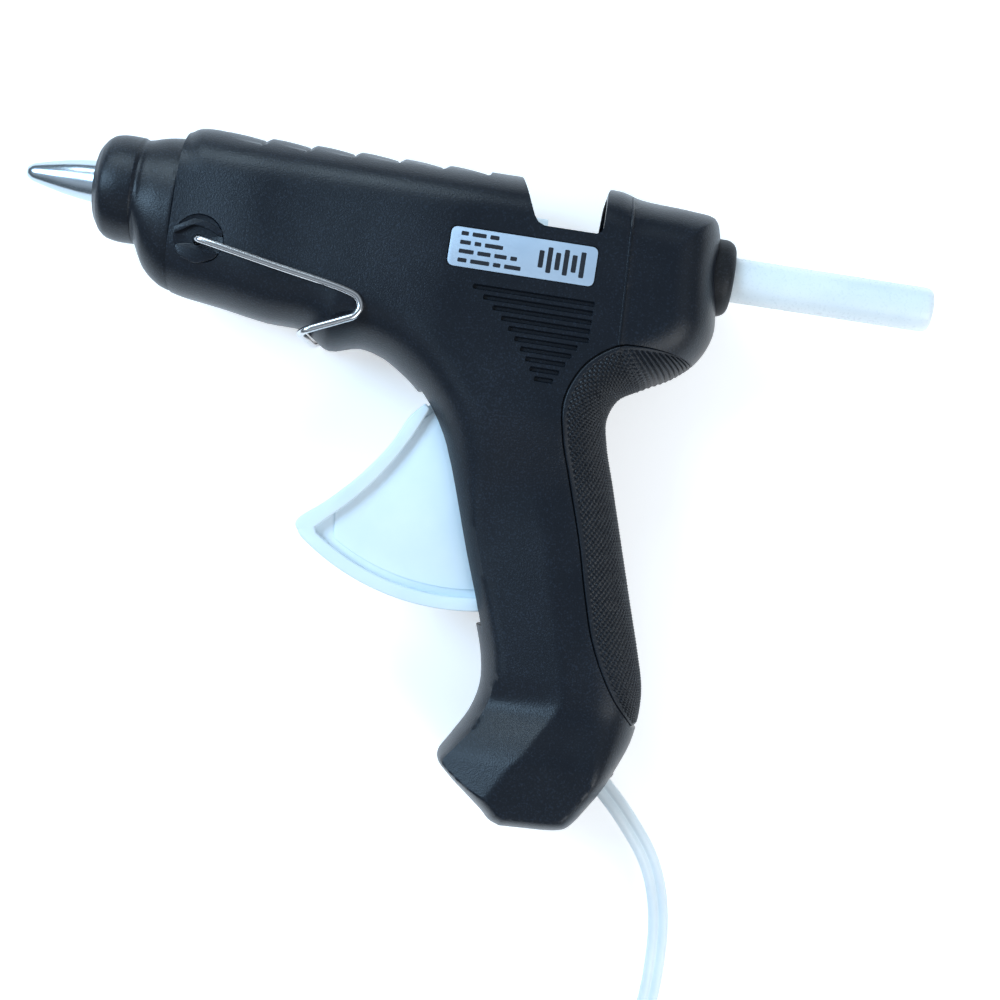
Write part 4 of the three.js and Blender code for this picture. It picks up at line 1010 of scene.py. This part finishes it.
# ------------------------------------------------------------ nose, nozzle, bush
def make_nose():
    """The collar and its flare: a loft through smoothed sections, then bored."""
    length = SEAM_X - 0.3
    sections = [(0, 7.9, -8.6, 8.2), (0.012, 9.2, -9.9, 9.5), (0.05, 10.3, -11.2, 10.7),
                (0.1, 11.4, -12.6, 12.1), (0.19, 12.3, -13.6, 12.9), (0.33, 12.6, -14, 13.2),
                (0.46, 12.5, -13.95, 13.15),
                (0.49, 12.3, -13.8, 13.0), (0.515, 12.1, -14.3, 12.8), (0.55, 12.2, -15.6, 12.9),
                (0.59, 12.4, -17.4, 12.9), (0.66, 12.9, -19.9, 13.1), (0.78, 13.5, -22.2, 13.5),
                (0.9, 13.8, -23.6, 13.8), (0.985, 13.95, -24.1, 13.95), (1, 13.8, -24.0, 13.8)]
    rings = []
    for share, top, bottom, half_z in smooth_line(sections, 5):
        middle, half_y = (top + bottom) / 2, (top - bottom) / 2
        rings.append([(share * length, middle + half_y * math.cos(a), half_z * math.sin(a))
                      for a in np.linspace(0, 2 * math.pi, 96, endpoint=False)])
    nose = loose("nose", *ring_loft(rings))
    back = SEAM_X - 1.5
    spigot = [(back, 11.4), (back, 13), (24.2, 13), (24.2, 11.4)]
    combine(nose, [loose("spigot", *turned(spigot))], "UNION")
    bore = [(-1, 0), (-1, 6.6), (0.4, 6.2), (0.9, 5.9), (2.4, 5.9), (4, 10), (back, 11.2), (26, 11.2),
            (26, 0)]
    combine(nose, [loose("bore", *turned(bore))])
    finish_piece(nose, node="nose_piece", material=NOSE, smooth=30)


def make_nozzle():
    profile = [(-18.3, 0.9), (-18.42, 1.15), (-18.3, 1.45), (-17.9, 1.75), (-17.4, 2.05), (-16.9, 2.3),
               (-16.2, 2.48), (-13, 3.3), (-9, 4.2), (-5, 4.85), (-0.9, 5.32), (-0.5, 5.4),
               (11.4, 5.4), (11.5, 5.3), (11.5, 3.9), (3.2, 3.9), (3.2, 2.4), (-6, 2.4), (-7.5, 0.9)]
    piece("nozzle_cone", *turned(profile, 128), slot="aluminium", node="nozzle", material=NOZZLE,
          smooth=32)


def make_bush():
    profile = [(149, 6.2), (149, 9.5), (149.1, 9.6), (156.6, 9.6), (157.3, 9.5), (158, 9.2),
               (158.6, 8.8), (159, 8.3), (159.25, 7.7), (159.3, 7.2), (159.1, 6.8), (158.4, 6.4),
               (157.4, 6.2)]
    piece("rear_bush", *turned(profile, 128), slot="black_plastic", node="rear_guide_bush",
          material=BLACK, smooth=45)


def make_stick():
    """The glue stick: cast round the ends, and not quite even along its length."""
    front = [(52, 0), (52, 4.2), (52.3, 4.9), (53, 5.45), (53.8, 5.58)]
    middle = [(x, STICK_RADIUS - 0.02 + 0.02 * math.sin(x * 0.9)) for x in np.linspace(56, 206, 60)]
    back = [(207.6, 5.58), (208.6, 5.42), (209.2, 5.1), (209.55, 4.6), (209.7, 3.9), (209.66, 2.4),
            (209.6, 0)]
    piece("stick", *turned(front + middle + back), body="stick", slot="glue", node="glue_stick",
          material=GLUE, smooth=60)


# ---------------------------------------------------------------- wire stand
def make_stand():
    x, y = STAND_PIVOT
    z = STAND_LEG_Z
    half = [(x, y, z - 4.8), (x, y, z - 1.6), (x + 0.5, y - 0.1, z - 0.4), (x + 2, y - 0.36, z),
            (48, -15.7, z), (66.2, -19, z), (69.3, -20.2, z), (70.4, -22.4, z), (69.4, -24.7, z),
            (66.6, -26.2, z), (60.6, -28.9, z), (58.2, -30, z - 0.4), (57, -30.7, z - 2),
            (56.7, -30.9, z - 3.8), (56.7, -30.9, 6)]
    other = [(px, py, -pz) for px, py, pz in half[::-1]]
    line = even_line(half + other, 0.45)
    verts, faces = sweep(line, round_section(STAND_WIRE_RADIUS, 24), up=(1, 0, 0), carried=True)
    piece("stand_wire", verts, faces, body="stand", slot="steel", node="wire_stand", material=STEEL,
          smooth=50)


# -------------------------------------------------------------------- trigger
def arc_about_pivot(radius, first, last, count):
    """Points on a circle round the trigger's pin, between two angles in degrees."""
    return [(PIVOT_X + radius * math.cos(turn), PIVOT_Y + radius * math.sin(turn))
            for turn in np.radians(np.linspace(first, last, count))]


def bevelled_plate(name, points, half_z, width, segments=3):
    obj = loose(name, *plate(points, -half_z, half_z))
    bevel(obj, width, segments, 40)
    return obj


def trigger_flanges():
    """The curved finger rest, and the flange along the bottom."""
    finger_side = smooth_line([(88.9, -42.4), (85.7, -46), (81.7, -54), (75.9, -62), (68.2, -70),
                               (63.3, -74)], 10)
    finger_inner = smooth_line([(69, -74.4), (75.5, -67.9), (82.2, -59.2), (87.1, -50.6),
                                (90.3, -43.6)], 10)
    tip = smooth_line([(63.3, -74), (62.1, -75.3), (61.7, -76.7), (62.3, -78)], 5)[1:-1]
    finger = [*finger_side, *tip, (62.6, -78.2), (66, -77.4), *finger_inner]
    low = arc_about_pivot(TRIGGER_REACH, 232.5, 285, 48)
    low_inner = arc_about_pivot(TRIGGER_REACH - 3.4, 285, 234.5, 44)
    lower = [(62.3, -78), *low, *low_inner, (66, -75.6)]
    return [bevelled_plate("finger_flange", finger, TRIGGER_HALF_WIDTH, 0.55),
            bevelled_plate("lower_flange", lower, TRIGGER_HALF_WIDTH, 0.55)]


def trigger_web():
    """The thin middle of the trigger, with a raised panel on both sides."""
    web = [(88.9, -43.4), (85, -52), (78, -62), (66, -76),
           *arc_about_pivot(TRIGGER_REACH - 1, 236, 285, 30),
           (112, -66), (105.4, -40), (101, -30), (97, -32), (93.4, -40)]
    raised = [(88.6, -46.6), (85.5, -53.5), (79.8, -61.6), (73.6, -68.6), (70.6, -71.6),
              *arc_about_pivot(TRIGGER_REACH - 5.2, 238.5, 285, 30),
              (110, -66), (103.4, -41), (99, -36), (95, -40)]
    return [loose("web", *plate(web, -WEB_HALF_WIDTH, WEB_HALF_WIDTH)),
            bevelled_plate("panel", rounded(raised, 1.4, 4), WEB_HALF_WIDTH + 0.5, 0.45, 2)]


def make_trigger():
    body, lower = trigger_flanges()
    hub = loose("hub", *rod_z(5.4, PIVOT_X, PIVOT_Y, -11.4, 11.4, 64))
    arm = [(96, -31), (104, -31), (103.6, -8), (104, 6.1), (103.6, 6.5), (96.4, 6.5), (96, 6.1),
           (96.4, -8)]
    arms = [loose("arm", *plate(arm, z0, z0 + 2.8)) for z0 in (-11.4, 8.6)]
    combine(body, [lower, *trigger_web(), hub, *arms], "UNION")
    combine(body, [loose("slot", *box(97.8, 102.2, -2.2, 5, -13, 13)),
                   loose("bore", *rod_z(2.05, PIVOT_X, PIVOT_Y, -13, 13))])
    finish_piece(body, body="trigger", node="trigger", material=WHITE, smooth=32)


# ---------------------------------------------------------------------- label
def label_marks():
    """Plain bars in rows, and two rows of blocks: generic marks, no lettering."""
    x0 = LABEL_BOX[0]
    rows = [(-1.35, (1.8, 3.4, 2.2)), (-3.5, (2.6, 1.6, 4.4)), (-5.65, (3.6, 3.2, 3.0, 1.6)),
            (-7.8, (2.2, 4.6, 1.8, 4.0))]
    marks = []
    for y, lengths in rows:
        x = x0 + 2.4
        for length in lengths:
            marks.append(rounded(rectangle(x, x + length, y - 0.5, y + 0.5), 0.25, 3))
            x += length + 0.9
    for k in range(6):
        x = x0 + 21.6 + 2.0 * k
        height = 3.1 if k % 2 else 2.1
        marks.append(rounded(rectangle(x, x + 1.2, -4.65 - height, -4.65 + height), 0.3, 3))
    return marks


def make_label():
    """A foil label, and its printing as thin bars just above it."""
    outline = rounded(rectangle(*LABEL_BOX), 1.7, 8)
    foil = loose("label", *plate(outline, HALF_WIDTH - 0.3, HALF_WIDTH))
    bevel(foil, 0.08, 2, 60)
    finish_piece(foil, node="rating_label", material=LABEL)
    verts, faces = [], []
    for mark in label_marks():
        mark_verts, mark_faces = plate(mark, HALF_WIDTH - 0.02, HALF_WIDTH + 0.025)
        faces += [tuple(len(verts) + i for i in face) for face in mark_faces]
        verts += mark_verts
    piece("label_print", verts, faces, slot="black_plastic", material=INK)


def foil_material():
    material, tree, shader = new_material("label_foil", (0.44, 0.54, 0.66), 0.42, 0.25)
    stops = [(0.35, (0.40, 0.50, 0.62)), (0.65, (0.50, 0.60, 0.71))]
    vary_color(tree, shader, noise(tree, 45, 3.0), stops)
    fine = noise(tree, 1800, 2.0)
    vary_roughness(tree, shader, fine, 0.34, 0.5)
    bump(tree, shader, fine, 0.15, 0.01)
    return material


LABEL = foil_material()
INK = moulded_plastic("label_ink", (0.012, 0.014, 0.02), (0.02, 0.024, 0.03), 0.6, 2500, 0.005)


# ------------------------------------------------- the CAD pieces that stay
KEPT = {
    "feed_carriage": WHITE, "heating_chamber": ALUMINIUM, "heater_film": FILM, "ptc_heater": CERAMIC,
    "inlet_sleeve": SILICONE,
    **dict.fromkeys(("upper_contact", "lower_contact"), BRASS),
    **dict.fromkeys(("cord_clamp_bar", "cord_grommet"), BLACK),
    **dict.fromkeys(("heater_lead_left", "heater_lead_right"), CORD),
    **dict.fromkeys(("valve_ball", "valve_spring", "sleeve_clip", "grip_pawl", "pawl_pin",
                     "trigger_pivot_pin", "trigger_spring", "clamp_screw_upper", "clamp_screw_lower",
                     "crimp_left", "crimp_right"), STEEL),
    **{f"shell_screw_{number}": DARK_STEEL for number in range(1, 8)},
}


def dress_kept_nodes():
    """Materials for the CAD pieces that show as they are, with their edges eased."""
    for name, material in KEPT.items():
        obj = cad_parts[name]
        obj.data.materials.clear()
        obj.data.materials.append(material)
        add_bevel(obj, 0.12, 2, 40)


make_nose()
make_nozzle()
make_bush()
make_stick()
make_stand()
make_trigger()
make_label()
dress_kept_nodes()


# ------------------------------------------------------------- floor and light
def make_floor():
    size, top = 6.0, -0.0002
    mesh = bpy.data.meshes.new("floor")
    mesh.from_pydata([(x, y, top) for x, y in rectangle(-size, size, -size, size)], [], [(0, 1, 2, 3)])
    floor = link_object("floor", mesh)
    material, _, shader = new_material("floor_paper", (0.93, 0.935, 0.94), 0.85)
    shader.inputs["Emission Color"].default_value = (1, 1, 1, 1)
    shader.inputs["Emission Strength"].default_value = 0.45
    mesh.materials.append(material)


def make_light(name, spot, aim, size, watts, color):
    light = bpy.data.lights.new(name, "AREA")
    light.shape = "DISK"
    light.size = size
    light.energy = watts
    light.color = color
    obj = link_object(name, light)
    obj.location = spot
    obj.rotation_euler = (Vector(aim) - Vector(spot)).to_track_quat("-Z", "Y").to_euler()


def make_world():
    """An even studio: bright overhead, dimmer towards the walls."""
    world = bpy.data.worlds.new("studio")
    bpy.context.scene.world = world
    world.use_nodes = True
    tree = world.node_tree
    direction = add_node(tree, "ShaderNodeTexCoord").outputs["Generated"]
    split = add_node(tree, "ShaderNodeSeparateXYZ")
    tree.links.new(direction, split.inputs[0])
    sky = ramp_of(tree, split.outputs["Z"], [(0.0, (0.10, 0.12, 0.14)), (0.4, (0.18, 0.21, 0.24)),
                                             (0.75, (0.55, 0.62, 0.70)), (0.97, (0.20, 0.235, 0.27))])
    tree.links.new(sky, tree.nodes["Background"].inputs["Color"])


make_floor()
make_light("key", (-0.6, 0.12, 0.62), (0.0, -0.06, 0.02), 0.4, 5.2, (0.48, 0.74, 1.0))
make_light("top", (-0.32, 0.62, 0.5), (-0.03, -0.02, 0.02), 0.4, 3.0, (0.66, 0.86, 1.0))
make_light("fill", (0.62, -0.5, 0.6), (0.0, -0.06, 0.02), 0.7, 4.4, (0.93, 0.97, 1.0))
make_world()
bpy.context.scene.view_settings.view_transform = "Standard"
